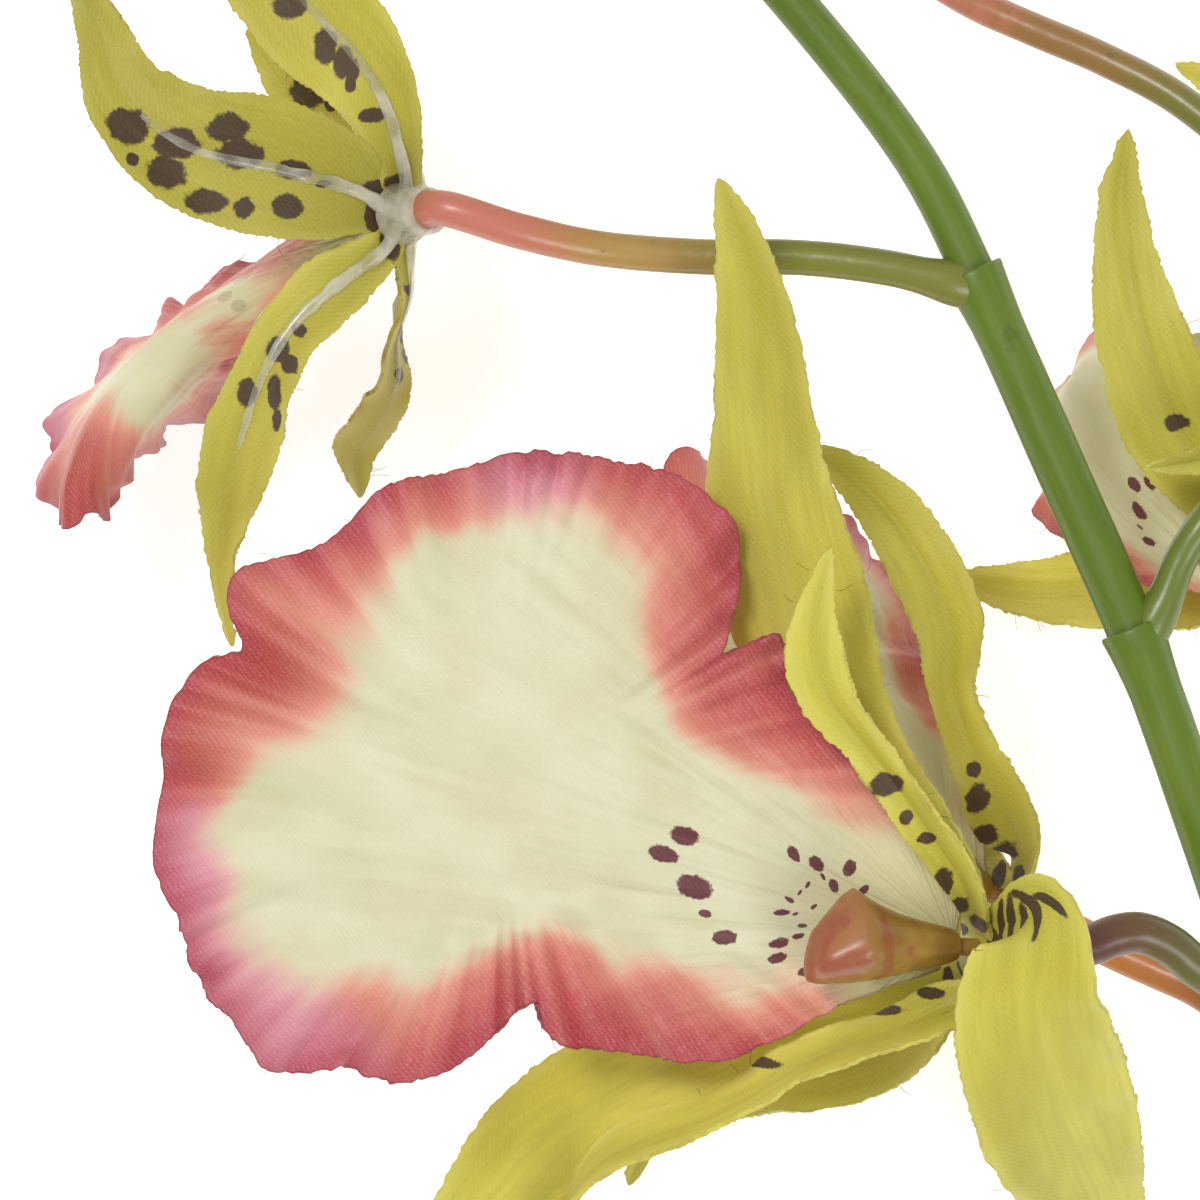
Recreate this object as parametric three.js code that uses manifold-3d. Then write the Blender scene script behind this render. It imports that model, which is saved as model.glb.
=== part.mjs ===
// Spider orchid stem: one cut spray of five blooms and four buds, laid down, with its growing tip towards +Y.
// Millimetres, +Z up. The stem's cut end and the lowest petal tips rest on the surface z = 0.
import * as THREE from "three";
import { mergeVertices } from "three/addons/utils/BufferGeometryUtils.js";
import Module from "manifold-3d";

const wasm = await Module();
wasm.setup();

// Driving dimensions
const PETAL = 0.6;
const GAP = 0.3;
const WIRE_RADIUS = 0.8;
const FLOWER_WIRE_RADIUS = 0.45;
const FLOWER_WIRE_BORE = 0.75;
const PLUG = 2.2;
const BORE_SIDES = 6;
const CORE_ROWS = 32;
const COLLAR_LENGTH = 7;
const COLLAR_FLARE = 0.22;
const DISC_RADIUS = 3.4;
const HUB = { front: 3.6, back: 2.9, length: 6, socket: 3.2 };
const PEG_RADIUS = 0.9;
const RIB = { width: 1.5, thickness: 0.8, stations: 3 };
const COLUMN = { length: 15.5, neck: 1.5, belly: 4.7, tip: 2.8, clearance: 1.5 };

// The lip's flat blank, as it lies in the lowest bloom seen from above: offsets from its throat, x then y
const LIP_BLANK = [
  [-3.4, 10.4], [-2.5, 6.5], [-2.1, 3], [0.8, 1.5], [0.8, -2], [-2, -3.5], [-8.2, -5.5], [-12, -7.2],
  [-16.2, -9.8], [-21, -11.8], [-25, -12.3], [-31, -12], [-37.5, -11.2], [-40.5, -9.3], [-41.6, -6.3],
  [-43.8, -7.8], [-46, -10.5], [-50, -13.3], [-55, -14.3], [-60.5, -13.8], [-66, -14.3], [-68.8, -13.6],
  [-71.8, -8.8], [-75, -6.5], [-77.2, -2.5], [-77.5, 2], [-79.5, 6.5], [-80.2, 10.5], [-79.2, 16.5],
  [-78.2, 22.3], [-75.2, 27.5], [-71, 29], [-72.4, 33.5], [-70.5, 36.7], [-65, 38.5], [-60, 41.5],
  [-56.5, 44.7], [-51, 46.7], [-45, 48], [-40, 48.3], [-35, 48.5], [-29, 46.9], [-25, 44.7],
  [-21.5, 42], [-20.5, 38.5], [-21, 33.5], [-22.8, 28], [-20.2, 29.7], [-18.2, 30.5], [-16.5, 28.5],
  [-16, 24.5], [-12, 19.5], [-7, 14.5],
];
const LIP_MIDDLE = [-45, 14.5];
const LIP_SLANT = 0.387;

// The main stem's centreline from the cut end to the tip, with the segment radius above each node
const STEM = [
  { at: [190, -430, 3.2] },
  { at: [178, -370, 6] },
  { at: [158, -290, 14] },
  { at: [135, -215, 24] },
  { at: [110, -150, 33] },
  { at: [87.5, -93, 40], node: 2.9 },
  { at: [76.7, -66.5, 43], node: 2.8 },
  { at: [66, -39, 45], node: 2.7 },
  { at: [60, -21.8, 46] },
  { at: [53.9, -4.8, 46], node: 2.6 },
  { at: [45.8, 13.8, 46] },
  { at: [38.1, 31, 46], node: 2.2 },
  { at: [31.2, 44.5, 46] },
  { at: [19.1, 60, 46] },
  { at: [7, 73, 46], node: 1.95 },
  { at: [-12, 91, 45], node: 1.8 },
  { at: [-30, 104, 43], node: 1.5 },
  { at: [-46, 112, 40] },
];
const STALK_RADIUS = 3;

const BLOOMS = [
  {
    name: "bloom_1",
    node: 4,
    centre: [-20.5, 38.6, 43.5],
    axis: [-0.6, -0.05, -0.8],
    stalk: [[33.5, 32.1, 47.2], [28, 33.3, 47.4], [20, 34.2, 47], [10, 34.3, 46.8], [0, 35.1, 47.5], [-8, 36.8, 50]],
    stalkRadius: 1.8,
    tepals: [
      {
        root: [-0.8, 0.1, 0.6],
        spine: [[-25, 41, 48, 5.2], [-32.4, 43, 52, 6.9], [-40.6, 45, 54.8, 6.2], [-46.8, 49.6, 55, 4.5],
          [-49.6, 56.2, 53, 2.8], [-51.3, 60.5, 50.5, 1.8], [-52, 65.5, 46, 0.5]],
        face: [[-0.6, -0.05, -0.8], [-0.1, 0.1, -1], [0.2, 0.1, -1], [0.5, 0.1, -0.8]],
      },
      {
        root: [0.1, 1, -0.1],
        spine: [[-20, 42.5, 44, 2.6], [-21.5, 49, 45, 4], [-24.3, 54, 46, 5.2], [-28.2, 58.3, 47, 6.2],
          [-32.3, 63.5, 47.5, 6], [-36.8, 70, 47, 5], [-41, 77, 45, 3], [-44, 83, 42, 0.5]],
        face: [[-0.6, -0.05, -0.8], [-0.1, 0.1, -1], [0.1, 0.1, -1]],
      },
      {
        root: [0.45, 0.55, -0.4],
        spine: [[-18.6, 42, 40.5, 3], [-20, 46, 35.5, 4.2], [-24, 49.5, 31.5, 5], [-28.5, 52.5, 29.5, 5],
          [-31.5, 57, 28.5, 4.2], [-32.5, 62, 28.5, 2.6], [-32, 66.5, 29, 0.5]],
        face: [[-0.6, -0.05, -0.8], [-0.7, -0.5, 0.4], [-0.2, -0.3, 0.9], [0, -0.2, 1]],
      },
      {
        root: [-0.35, -0.85, 0.25],
        spine: [[-22.2, 34.8, 45, 2.4], [-27, 31, 46.6, 3.5], [-31, 27, 47, 3.2], [-33.8, 22, 47, 3.2],
          [-35.5, 17, 46.5, 4], [-37.2, 11, 45.5, 3.4], [-37.8, 6, 44.5, 2.1], [-37.8, 1, 44, 0.9],
          [-36.6, -4.6, 43.5, 0.5]],
        face: [[-0.6, -0.05, -0.8], [0.1, 0.1, -1], [0.3, 0, -0.9], [0.5, 0, -0.8]],
      },
      {
        root: [0.25, -0.85, -0.3],
        spine: [[-19.7, 35.5, 41.5, 1.6], [-19.5, 31, 37, 1.8], [-20.8, 26.5, 31.5, 2.6],
          [-20.8, 22, 26, 2.6], [-22.8, 18, 20.5, 2.8], [-24.8, 15, 15.5, 2.2], [-24.3, 10.7, 11, 0.5]],
        face: [[-0.6, -0.05, -0.8], [-1, -0.2, -0.3], [-0.4, 0.6, -0.7], [0.3, 0.6, -0.7]],
      },
    ],
    lip: {
      size: 0.63,
      middle: [[-22.6, 37.2, 41.4], [-29, 33.4, 40], [-34.5, 30, 39.6], [-40.5, 26.2, 39.4], [-45.6, 21.6, 39],
        [-49.4, 16.6, 38.4], [-51.2, 11.6, 37.4], [-51.2, 7.3, 36]],
      face: [[0, 0, -1], [-0.05, -0.1, -1], [-0.05, -0.1, -1]],
      fold: { radius: 2.8, angle: 1.48, towards: 1 },
      ruffle: 1,
    },
    column: [0.06, 0.03, -1],
  },
  {
    name: "bloom_2",
    node: 2,
    centre: [37.5, -34.5, 60],
    axis: [-0.83, 0.05, 0.55],
    stalk: [[63.8, -38.8, 47.5], [59.8, -36.8, 49.6], [56.8, -34.4, 51], [54, -33.2, 52], [51.4, -33.4, 52.8],
      [48.6, -34.4, 53.6]],
    stalkRadius: 2.1,
    tepals: [
      {
        root: [0, 1, -0.2],
        spine: [[36.3, -27.5, 59, 2], [32.5, -21.5, 57.5, 2.4], [28, -16, 55.5, 3.4], [23.8, -10, 53.8, 5.2],
          [20, -1, 53, 7.3], [17.2, 9, 53, 6.6], [16.4, 17, 54, 5.2], [15.4, 28, 56.5, 3.9],
          [13.6, 36.5, 59, 2.3], [11.7, 41.8, 60.5, 0.5]],
        face: [[-0.83, 0.05, 0.55], [-0.2, 0, 1], [-0.1, 0, 1], [0, 0, 1]],
      },
      {
        root: [0.1, 0.75, 0.55],
        spine: [[35.8, -28, 63.8, 2.4], [32.3, -22.8, 65.3, 2.5], [29, -18, 65.6, 2.1],
          [25.7, -13.8, 65.4, 2.2], [22.6, -9.8, 65.2, 2.8], [21.2, -5, 65.4, 3], [21.5, 0, 65.8, 1.7],
          [22.9, 5.3, 66, 0.5]],
        face: [[-0.83, 0.05, 0.55], [-0.4, -0.2, 0.9], [-0.1, 0, 1], [0, 0, 1]],
      },
      {
        root: [0.55, 0.2, 0.8],
        spine: [[40.2, -32.2, 64.6, 3], [42.4, -31.4, 68, 4.6], [43, -34.3, 69.8, 6], [42.3, -39.5, 68.2, 7.4],
          [42.4, -44, 64.5, 8.1], [44, -48.6, 59.3, 8.1], [45.8, -53, 53, 7.7], [49.4, -60.6, 41, 5.4],
          [52, -66.4, 31, 2.9], [53.8, -71, 22, 0.5]],
        face: [[-0.83, 0.05, 0.55], [-0.1, 0.2, 1], [0, 0, 1], [0, 0, 1], [0, 0, 1]],
      },
      {
        root: [0.25, -0.8, 0.4],
        spine: [[37.6, -39.4, 62.5, 2.2], [34, -40.5, 62, 3], [29.3, -42.6, 60.5, 3], [24, -44.4, 59, 3],
          [19.8, -46.2, 57.8, 3], [15.5, -49, 56.5, 3.2], [10.8, -51.4, 55, 3.2], [5, -53.4, 53, 3.2],
          [0.5, -55.7, 51, 3], [-2.5, -59, 47.5, 2.6], [-5, -63.5, 42, 1.6], [-6.5, -67.5, 37, 0.5]],
        face: [[-0.83, 0.05, 0.55], [0.1, 0.8, 0.6], [0.1, 0.75, 0.65], [0.5, 0.4, 0.75]],
      },
      {
        root: [-0.2, -0.8, -0.5],
        spine: [[35.5, -38.6, 57, 2.4], [28, -40.6, 54, 3.4], [18.5, -42.8, 52, 4.8], [9.5, -45.5, 50, 6],
          [1.5, -49.5, 47.3, 6.6], [-5.2, -53.7, 43.8, 6.2], [-10.8, -59.5, 39, 5], [-15, -65.5, 33, 3.2],
          [-18, -70.5, 27, 0.5]],
        face: [[-0.83, 0.05, 0.55], [0, 0.1, 1], [0.1, 0.1, 1], [0.2, 0.3, 0.9]],
      },
    ],
    lip: {
      size: 1,
      middle: [[35, -33.5, 58.8], [23.9, -29, 59.2], [11.9, -24, 60.2], [-6.7, -16.5, 60.8],
        [-25.2, -8.9, 59.5], [-39, -3.3, 57]],
      face: [[0, 0, 1], [0, 0, 1]],
      fold: { radius: 120, angle: 1, towards: -1 },
      ruffle: 1.6,
    },
    column: [-0.93, 0.03, 0.36],
  },
  {
    name: "bloom_3",
    node: 1,
    centre: [69, 1, 26],
    axis: [-0.6, 0.3, 0.74],
    stalk: [[82, -60.5, 41.5], [87.5, -46, 34.5], [89, -31, 25.5], [86, -17.5, 17.5], [82, -8.5, 13.6],
      [77.8, -3.7, 15.2]],
    stalkRadius: 1.9,
    tepals: [
      {
        root: [-0.3, 0.9, -0.6],
        spine: [[68.8, 5.6, 25.2, 2.7], [64.2, 10, 30.5, 4.3], [58.5, 17, 33.2, 5.7], [55.1, 25, 33.6, 4.9],
          [53.2, 32.3, 32.8, 3.7], [52.5, 40.8, 31, 2.2], [53.3, 47.6, 29, 0.5]],
        face: [[-0.6, 0.3, 0.74], [-0.2, -0.1, 1], [0, 0, 1]],
      },
      {
        root: [-0.78, -0.1, -0.6],
        spine: [[65.3, 0.6, 21, 2.8], [61, 0.9, 13.5, 4], [55.2, 1.1, 9, 4.1], [50, 1.1, 7, 4],
          [45, 1, 6, 3.2], [40, 1.5, 5.2, 2.1], [35.3, 2.3, 4.6, 0.5]],
        face: [[-0.6, 0.3, 0.74], [-0.1, 0.1, 1], [0, 0, 1]],
      },
      {
        root: [0.5, 0.6, 0.2],
        spine: [[71.2, 5.2, 27.5, 2.2], [73.3, 10.5, 32, 2.9], [71.2, 15, 37, 3], [66, 15.6, 39.6, 2.4],
          [60, 13.9, 40.4, 1.4], [54.8, 13.1, 40.4, 0.5]],
        face: [[-0.6, 0.3, 0.74], [-0.6, -0.4, 0.7], [-0.1, -0.3, 1]],
      },
      {
        root: [0.75, -0.1, 0.6],
        spine: [[73.5, 0, 29, 2.6], [80, -1, 30, 4.5], [89, -2.5, 26.5, 5.5], [98, -5, 18.5, 5],
          [106, -8, 8.5, 3.4], [112, -10.5, 1.5, 1.8], [116, -12, 0.3, 0.7]],
        face: [[-0.6, 0.3, 0.74], [0, 0, 1], [0.5, 0, 0.9], [0, 0, 1]],
      },
      {
        root: [0.45, 0.85, -0.1],
        spine: [[71.8, 6, 23.5, 2.4], [74.5, 14, 21.5, 4.2], [76, 24, 19.5, 5.2], [75, 34, 18, 5],
          [71, 43, 17.5, 3.8], [66, 49.5, 18, 2.6], [61.5, 52.7, 18.5, 1.4], [58.3, 54.4, 19, 0.5]],
        face: [[-0.6, 0.3, 0.74], [-0.3, 0, 1], [0, 0, 1]],
      },
    ],
    lip: {
      size: 0.58,
      middle: [[67.3, 1.2, 26.6], [63, 3.2, 25.2], [58.4, 8.6, 23.6], [54.2, 15, 22.3], [50.8, 20.6, 20.5],
        [48.8, 23.4, 16.5], [48.6, 23.8, 11]],
      face: [[-0.5, 0.3, 0.8], [-0.1, -0.1, 1], [-0.7, 0.6, 0.3]],
      fold: { radius: 8, angle: 0.9, towards: -1 },
      ruffle: 1,
    },
    column: [-0.2, 0.25, 0.95],
  },
  {
    name: "bloom_4",
    node: 0,
    centre: [41, -30.3, 27],
    axis: [-0.87, 0.4, 0.28],
    stalk: [[88.5, -88.5, 35.5], [86.5, -81, 32.5], [80, -68, 30.5], [72.5, -54, 29.3], [66.5, -44.4, 28.3],
      [61, -39.8, 27.2], [56.5, -37.6, 26.2], [52, -35.6, 25.4]],
    stalkRadius: 1.8,
    tepals: [
      {
        root: [0.35, 0.85, 0.2],
        spine: [[42.5, -26, 28.6, 2.5], [40.3, -21, 30, 3.1], [37.4, -14.8, 31.5, 2.6], [35.4, -9, 32.5, 2.5],
          [34.9, -1.5, 33, 3.6], [29.8, 8, 33, 3.3], [24.8, 13, 32, 2], [21, 15.5, 31, 0.5]],
        face: [[-0.87, 0.4, 0.28], [-0.3, 0, 0.9], [-0.2, 0, 1], [0, 0, 1], [0, 0, 1]],
      },
      {
        root: [-0.2, 0.6, -0.75],
        spine: [[38, -25.5, 22, 2.4], [33, -19.5, 15.5, 3.4], [27, -13, 10, 4], [21.5, -5.5, 6, 4],
          [17, 2.5, 2.8, 3.2], [14.5, 9.5, 0.6, 1.9], [13.5, 13.5, 0.3, 0.6]],
        face: [[-0.87, 0.4, 0.28], [-0.4, 0.4, 0.8], [0, 0, 1]],
      },
      {
        root: [0.1, -0.6, -0.3],
        spine: [[39.4, -34.8, 25, 2.6], [36, -39.2, 22, 3.4], [30.5, -44.8, 19.5, 4], [24, -47.6, 16.5, 3.9],
          [16, -48.9, 12.5, 3.4], [9, -52, 7.5, 2.4], [5, -55.5, 3, 1.3], [2.8, -60, 0.3, 0.5]],
        face: [[-0.87, 0.4, 0.28], [0, 0.1, 1], [0, 0.1, 1]],
      },
      {
        root: [0.3, -0.3, 0.8],
        spine: [[43, -33, 31, 2.4], [46, -38.5, 31.5, 3.6], [47.5, -46, 27.5, 4], [49, -54, 20, 4],
          [51, -62, 11, 3.2], [53, -69, 3.5, 1.8], [54.5, -74, 0.3, 0.6]],
        face: [[-0.87, 0.4, 0.28], [0, 0.4, 1], [0, 0.5, 0.9]],
      },
      {
        root: [-0.2, -0.5, -0.8],
        spine: [[38.8, -32.8, 22.5, 2.4], [33.5, -34.2, 17, 3.8], [26, -34.5, 11.5, 4.2], [17, -33.5, 7, 4],
          [8, -31, 3.4, 3], [1, -29, 0.8, 1.8], [-4, -27.5, 0.3, 0.6]],
        face: [[-0.87, 0.4, 0.28], [-0.3, 0, 1], [0, 0, 1]],
      },
    ],
    lip: {
      size: 0.7,
      middle: [[39.2, -30.2, 25.3], [33.2, -21.8, 25], [26.6, -12, 26.5], [19.6, -3.2, 26.5], [13, 4, 25.5],
        [8, 9, 23]],
      face: [[-0.4, 0.1, 0.9], [0.15, 0.1, 1], [0.1, 0.1, 1]],
      fold: { radius: 7, angle: 0.95, towards: -1 },
      ruffle: 1,
    },
    column: [-0.6, 0.35, 0.7],
  },
  {
    name: "bloom_5",
    node: 3,
    centre: [24.6, 68.4, 30],
    axis: [-0.8, 0.5, 0.3],
    stalk: [[56.4, 0, 46.6], [58, 4, 46.8], [60.6, 8, 47], [67, 16, 46], [71.6, 25, 42.5],
      [71, 34.5, 37], [66, 43.5, 32.5], [58.7, 50.2, 29.5], [50.9, 54.5, 27.8], [43.9, 57.5, 27],
      [37.5, 60.4, 26.4]],
    stalkRadius: 1.7,
    tepals: [
      {
        root: [0.5, 0.8, 0],
        spine: [[27.4, 73, 30, 2.6], [32, 80, 31.5, 4.4], [37, 87, 32.5, 5.4], [41.5, 95, 32.5, 5],
          [44.5, 103, 30.5, 3.6], [46, 110, 27, 1.8], [46.5, 114, 24, 0.5]],
        face: [[-0.8, 0.5, 0.3], [-0.4, 0.1, 1], [0, 0.2, 1]],
      },
      {
        root: [0.3, -0.1, 0.9],
        spine: [[26, 69, 34.8, 2.6], [25.6, 73, 39.6, 4.2], [24.8, 79, 42.5, 5], [24.4, 86.5, 43, 4.8],
          [23.8, 94.5, 41.5, 3.6], [23.5, 101, 38.5, 1.9], [23.5, 105.5, 36, 0.5]],
        face: [[-0.8, 0.5, 0.3], [-0.3, -0.5, 0.8], [0, 0, 1]],
      },
      {
        root: [-0.3, -0.75, 0.4],
        spine: [[23.2, 64.6, 33, 2.4], [19.6, 63.8, 37, 3.6], [13, 66, 39.6, 4.6], [5, 70.5, 38.5, 4.6],
          [-3.5, 75.5, 33.5, 3.6], [-11, 80.5, 27.5, 1.9], [-16, 84, 23, 0.5]],
        face: [[-0.8, 0.5, 0.3], [-0.2, 0, 1], [0.3, 0, 1]],
      },
      {
        root: [-0.4, -0.4, -0.7],
        spine: [[22.3, 66.3, 25.6, 2.4], [18, 68, 20, 3.6], [12.5, 71, 14, 4.6], [5, 75.5, 8, 4.6],
          [-2.5, 80.5, 3, 3.6], [-8.5, 85, 0.6, 1.9], [-12.5, 88, 0.3, 0.6]],
        face: [[-0.8, 0.5, 0.3], [-0.2, 0.2, 1], [0, 0, 1]],
      },
      {
        root: [0.4, 0.2, -0.9],
        spine: [[26.6, 70, 26, 2.6], [29.5, 75, 19, 4.2], [33, 81, 12, 5.2], [36.5, 88.5, 5.8, 4.8],
          [39.5, 96, 1.5, 3.4], [41.5, 102, 0.3, 1.8], [43, 106, 0.3, 0.6]],
        face: [[-0.8, 0.5, 0.3], [-0.4, 0.3, 0.9], [0, 0, 1]],
      },
    ],
    lip: {
      size: 0.8,
      middle: [[23.9, 69, 28.3], [17.5, 73.5, 27], [11, 79.5, 26.5], [5, 86, 25], [0, 92.5, 22], [-4, 98.5, 17]],
      face: [[-0.4, 0.3, 0.9], [-0.1, 0.1, 1], [-0.2, 0.4, 0.9]],
      fold: { radius: 40, angle: 0.6, towards: -1 },
      ruffle: 1.2,
    },
    column: [-0.53, 0.6, 0.59],
  },
];

const BUDS = [
  { name: "bud_1", node: 5, stalk: [[10, 80, 49], [12.5, 87, 52]], aim: [0.25, 0.9, 0.25], length: 17, radius: 4.4 },
  { name: "bud_2", node: 6, stalk: [[-19, 93.5, 47.5], [-25, 93, 49.5]], aim: [-0.9, -0.25, 0.2], length: 15, radius: 3.9 },
  { name: "bud_3", node: 7, stalk: [[-29.5, 110, 44.5], [-27, 115, 45.5]], aim: [0.35, 0.9, 0.1], length: 13, radius: 3.3 },
];
const TIP_BUD = { name: "bud_4", aim: [-0.9, 0.4, -0.15], length: 11, radius: 2.8 };

const FINISHES = {
  petal: { color: 0xcdc650, roughness: 0.55, metalness: 0 },
  lip: { color: 0xdccaa0, roughness: 0.5, metalness: 0 },
  column: { color: 0xbe965f, roughness: 0.3, metalness: 0 },
  clear: { color: 0xd8d6c4, roughness: 0.15, metalness: 0 },
  stem: { color: 0x607d23, roughness: 0.35, metalness: 0 },
  flowerStalk: { color: 0x9a8a48, roughness: 0.35, metalness: 0 },
  bud: { color: 0xa9a84a, roughness: 0.45, metalness: 0 },
  wire: { color: 0x8c8f92, roughness: 0.35, metalness: 1 },
};

const vector = ([x, y, z]) => new THREE.Vector3(x, y, z);
const curveThrough = (points) => new THREE.CatmullRomCurve3(points, false, "catmullrom", 0.5);

// Solids
function weld(geometry) {
  const bare = geometry.clone();
  bare.deleteAttribute("normal");
  bare.deleteAttribute("uv");
  const merged = mergeVertices(bare, 1e-4);
  const index = merged.index.array;
  const kept = [];
  for (let i = 0; i < index.length; i += 3) {
    const [a, b, c] = [index[i], index[i + 1], index[i + 2]];
    if (a !== b && b !== c && c !== a) kept.push(a, b, c);
  }
  merged.setIndex(kept);
  return merged;
}

function solidOf(geometry) {
  const merged = weld(geometry);
  const build = (triVerts) =>
    new wasm.Manifold(
      new wasm.Mesh({
        numProp: 3,
        vertProperties: new Float32Array(merged.attributes.position.array),
        triVerts: new Uint32Array(triVerts),
      }),
    );
  const faces = [...merged.index.array];
  const solid = build(faces);
  return solid.volume() > 0 ? solid : build(faces.reverse());
}

function geometryOf(solid) {
  const { vertProperties, triVerts } = solid.getMesh();
  const geometry = new THREE.BufferGeometry();
  geometry.setAttribute("position", new THREE.BufferAttribute(vertProperties, 3));
  geometry.setIndex(new THREE.BufferAttribute(triVerts, 1));
  geometry.computeVertexNormals();
  return geometry;
}

function largestPiece(solid) {
  return solid.decompose().reduce((best, piece) => (piece.volume() > best.volume() ? piece : best));
}

// A sheet given as its middle surface becomes a closed solid of one thickness
function thicken(sheet, thickness) {
  const middle = weld(sheet);
  middle.computeVertexNormals();
  const { position, normal } = middle.attributes;
  const count = position.count;
  const places = new Float32Array(count * 6);
  for (let i = 0; i < count; i += 1) {
    const at = new THREE.Vector3().fromBufferAttribute(position, i);
    const out = new THREE.Vector3().fromBufferAttribute(normal, i).multiplyScalar(thickness / 2);
    at.clone().add(out).toArray(places, i * 3);
    at.clone().sub(out).toArray(places, (count + i) * 3);
  }
  const index = [...middle.index.array];
  const edges = new Set();
  for (let i = 0; i < index.length; i += 3) {
    for (let k = 0; k < 3; k += 1) edges.add(`${index[i + k]},${index[i + ((k + 1) % 3)]}`);
  }
  const faces = [...index];
  for (let i = 0; i < index.length; i += 3) {
    faces.push(index[i] + count, index[i + 2] + count, index[i + 1] + count);
  }
  for (const edge of edges) {
    const [a, b] = edge.split(",").map(Number);
    if (edges.has(`${b},${a}`)) continue;
    faces.push(a, a + count, b, b, a + count, b + count);
  }
  const solid = new THREE.BufferGeometry();
  solid.setAttribute("position", new THREE.BufferAttribute(places, 3));
  solid.setIndex(faces);
  return solidOf(solid);
}

// A tube along a path, its radius a function of the way along, with an optional bore;
// inset leaves that many rows off each end
function tube(points, radiusAt, { sides = 8, steps = 10, bore = 0, inset = 0 } = {}) {
  const ring = (radius, corners) =>
    Array.from({ length: corners }, (_, i) => {
      const turn = (i / corners) * Math.PI * 2;
      return new THREE.Vector2(Math.cos(turn) * radius, Math.sin(turn) * radius);
    });
  const section = new THREE.Shape(ring(1, sides));
  if (bore) section.holes.push(new THREE.Path(ring(0.5, BORE_SIDES)));
  const rows = steps - 2 * inset;
  const geometry = new THREE.ExtrudeGeometry(section, { depth: 1, steps: rows, bevelEnabled: false });
  const path = curveThrough(points);
  const frames = path.computeFrenetFrames(steps, false);
  const position = geometry.attributes.position;
  for (let i = 0; i < position.count; i += 1) {
    const [x, y, z] = [position.getX(i), position.getY(i), position.getZ(i)];
    const station = inset + Math.round(z * rows);
    const radius = Math.hypot(x, y) > 0.75 ? radiusAt(z) : bore * 2;
    const at = path.getPointAt(station / steps);
    at.addScaledVector(frames.normals[station], x * radius);
    at.addScaledVector(frames.binormals[station], y * radius);
    position.setXYZ(i, at.x, at.y, at.z);
  }
  return solidOf(geometry);
}

// A turned body: its profile runs from radius 0 to radius 0, with heights along the axis from a centre
function turned(profile, centre, axis, sides = 12) {
  const geometry = new THREE.LatheGeometry(profile.map(([r, h]) => new THREE.Vector2(r, h)), sides);
  const turn = new THREE.Quaternion().setFromUnitVectors(new THREE.Vector3(0, 1, 0), axis.clone().normalize());
  geometry.applyQuaternion(turn);
  geometry.translate(centre.x, centre.y, centre.z);
  return solidOf(geometry);
}

const pin = (radius, from, to, centre, axis, sides = 6) =>
  turned([[0, from], [radius, from], [radius, to], [0, to]], centre, axis, sides);

// Facing vectors spaced evenly along a blade, kept square to its direction
function facing(list, way, tangent) {
  const slot = Math.min(way, 0.9999) * (list.length - 1);
  const first = Math.floor(slot);
  const face = vector(list[first]).normalize().lerp(vector(list[first + 1]).normalize(), slot - first);
  return face.addScaledVector(tangent, -face.dot(tangent)).normalize();
}

// Narrow petals
const waveOf = (order) => ({ waves: 2.3 + 0.4 * order, phase: 1.7 * order });

const bladeRows = (bloom) => (bloom.lip.size === 1 ? 10 : 8);

function bladeSheet(bloom, tepal, order, { rows, across = 2, half = 0, offset = 0 }) {
  const centre = vector(bloom.centre);
  const axis = vector(bloom.axis).normalize();
  const root = vector(tepal.root);
  root.addScaledVector(axis, -root.dot(axis)).normalize();
  const stations = [[...centre.clone().addScaledVector(root, 1.4), 2.1], ...tepal.spine];
  const path = curveThrough(stations.map(vector));
  const widths = curveThrough(stations.map(([, , , h]) => new THREE.Vector3(h, 0, 0)));
  const { waves, phase } = waveOf(order);
  const sheet = new THREE.PlaneGeometry(1, 1, across, rows);
  const position = sheet.attributes.position;
  for (let i = 0; i < position.count; i += 1) {
    const side = position.getX(i) * 2;
    const way = (position.getY(i) + 0.5) * (rows / bladeRows(bloom));
    const t = path.getUtoTmapping(way);
    const at = path.getPoint(t);
    const tangent = path.getTangent(t);
    const face = facing(tepal.face, way, tangent);
    const across3 = new THREE.Vector3().crossVectors(tangent, face);
    const width = widths.getPoint(t).x;
    const reach = half || width;
    const swell = Math.sin(Math.PI * Math.min(1, way * 1.1));
    const cup = half ? 0 : 0.16 * width * side * side * swell;
    const wave = half ? 0 : 0.45 * swell * Math.abs(side) ** 3 * Math.sin(waves * way * Math.PI * 2 + phase + side);
    at.addScaledVector(across3, side * reach);
    at.addScaledVector(face, cup + wave + offset);
    const floor = half ? -1 : PETAL / 2;
    position.setXYZ(i, at.x, at.y, Math.max(at.z, floor));
  }
  return sheet;
}

function tepalsTogether(bloom, grow = 0) {
  const centre = vector(bloom.centre);
  const axis = vector(bloom.axis);
  const rows = bladeRows(bloom);
  const across = bloom.lip.size === 1 ? 4 : 2;
  const disc = pin(DISC_RADIUS + grow, -0.34 - grow, 0.34 + grow, centre, axis, 9);
  const blades = bloom.tepals.map((tepal, order) =>
    thicken(bladeSheet(bloom, tepal, order, { rows, across }), PETAL + 2 * grow),
  );
  return blades.reduce((sum, blade) => sum.add(blade), disc);
}

function tepalStar(bloom) {
  const hole = pin(PEG_RADIUS + GAP, -2, 2, vector(bloom.centre), vector(bloom.axis));
  return largestPiece(tepalsTogether(bloom).subtract(hole));
}

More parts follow.
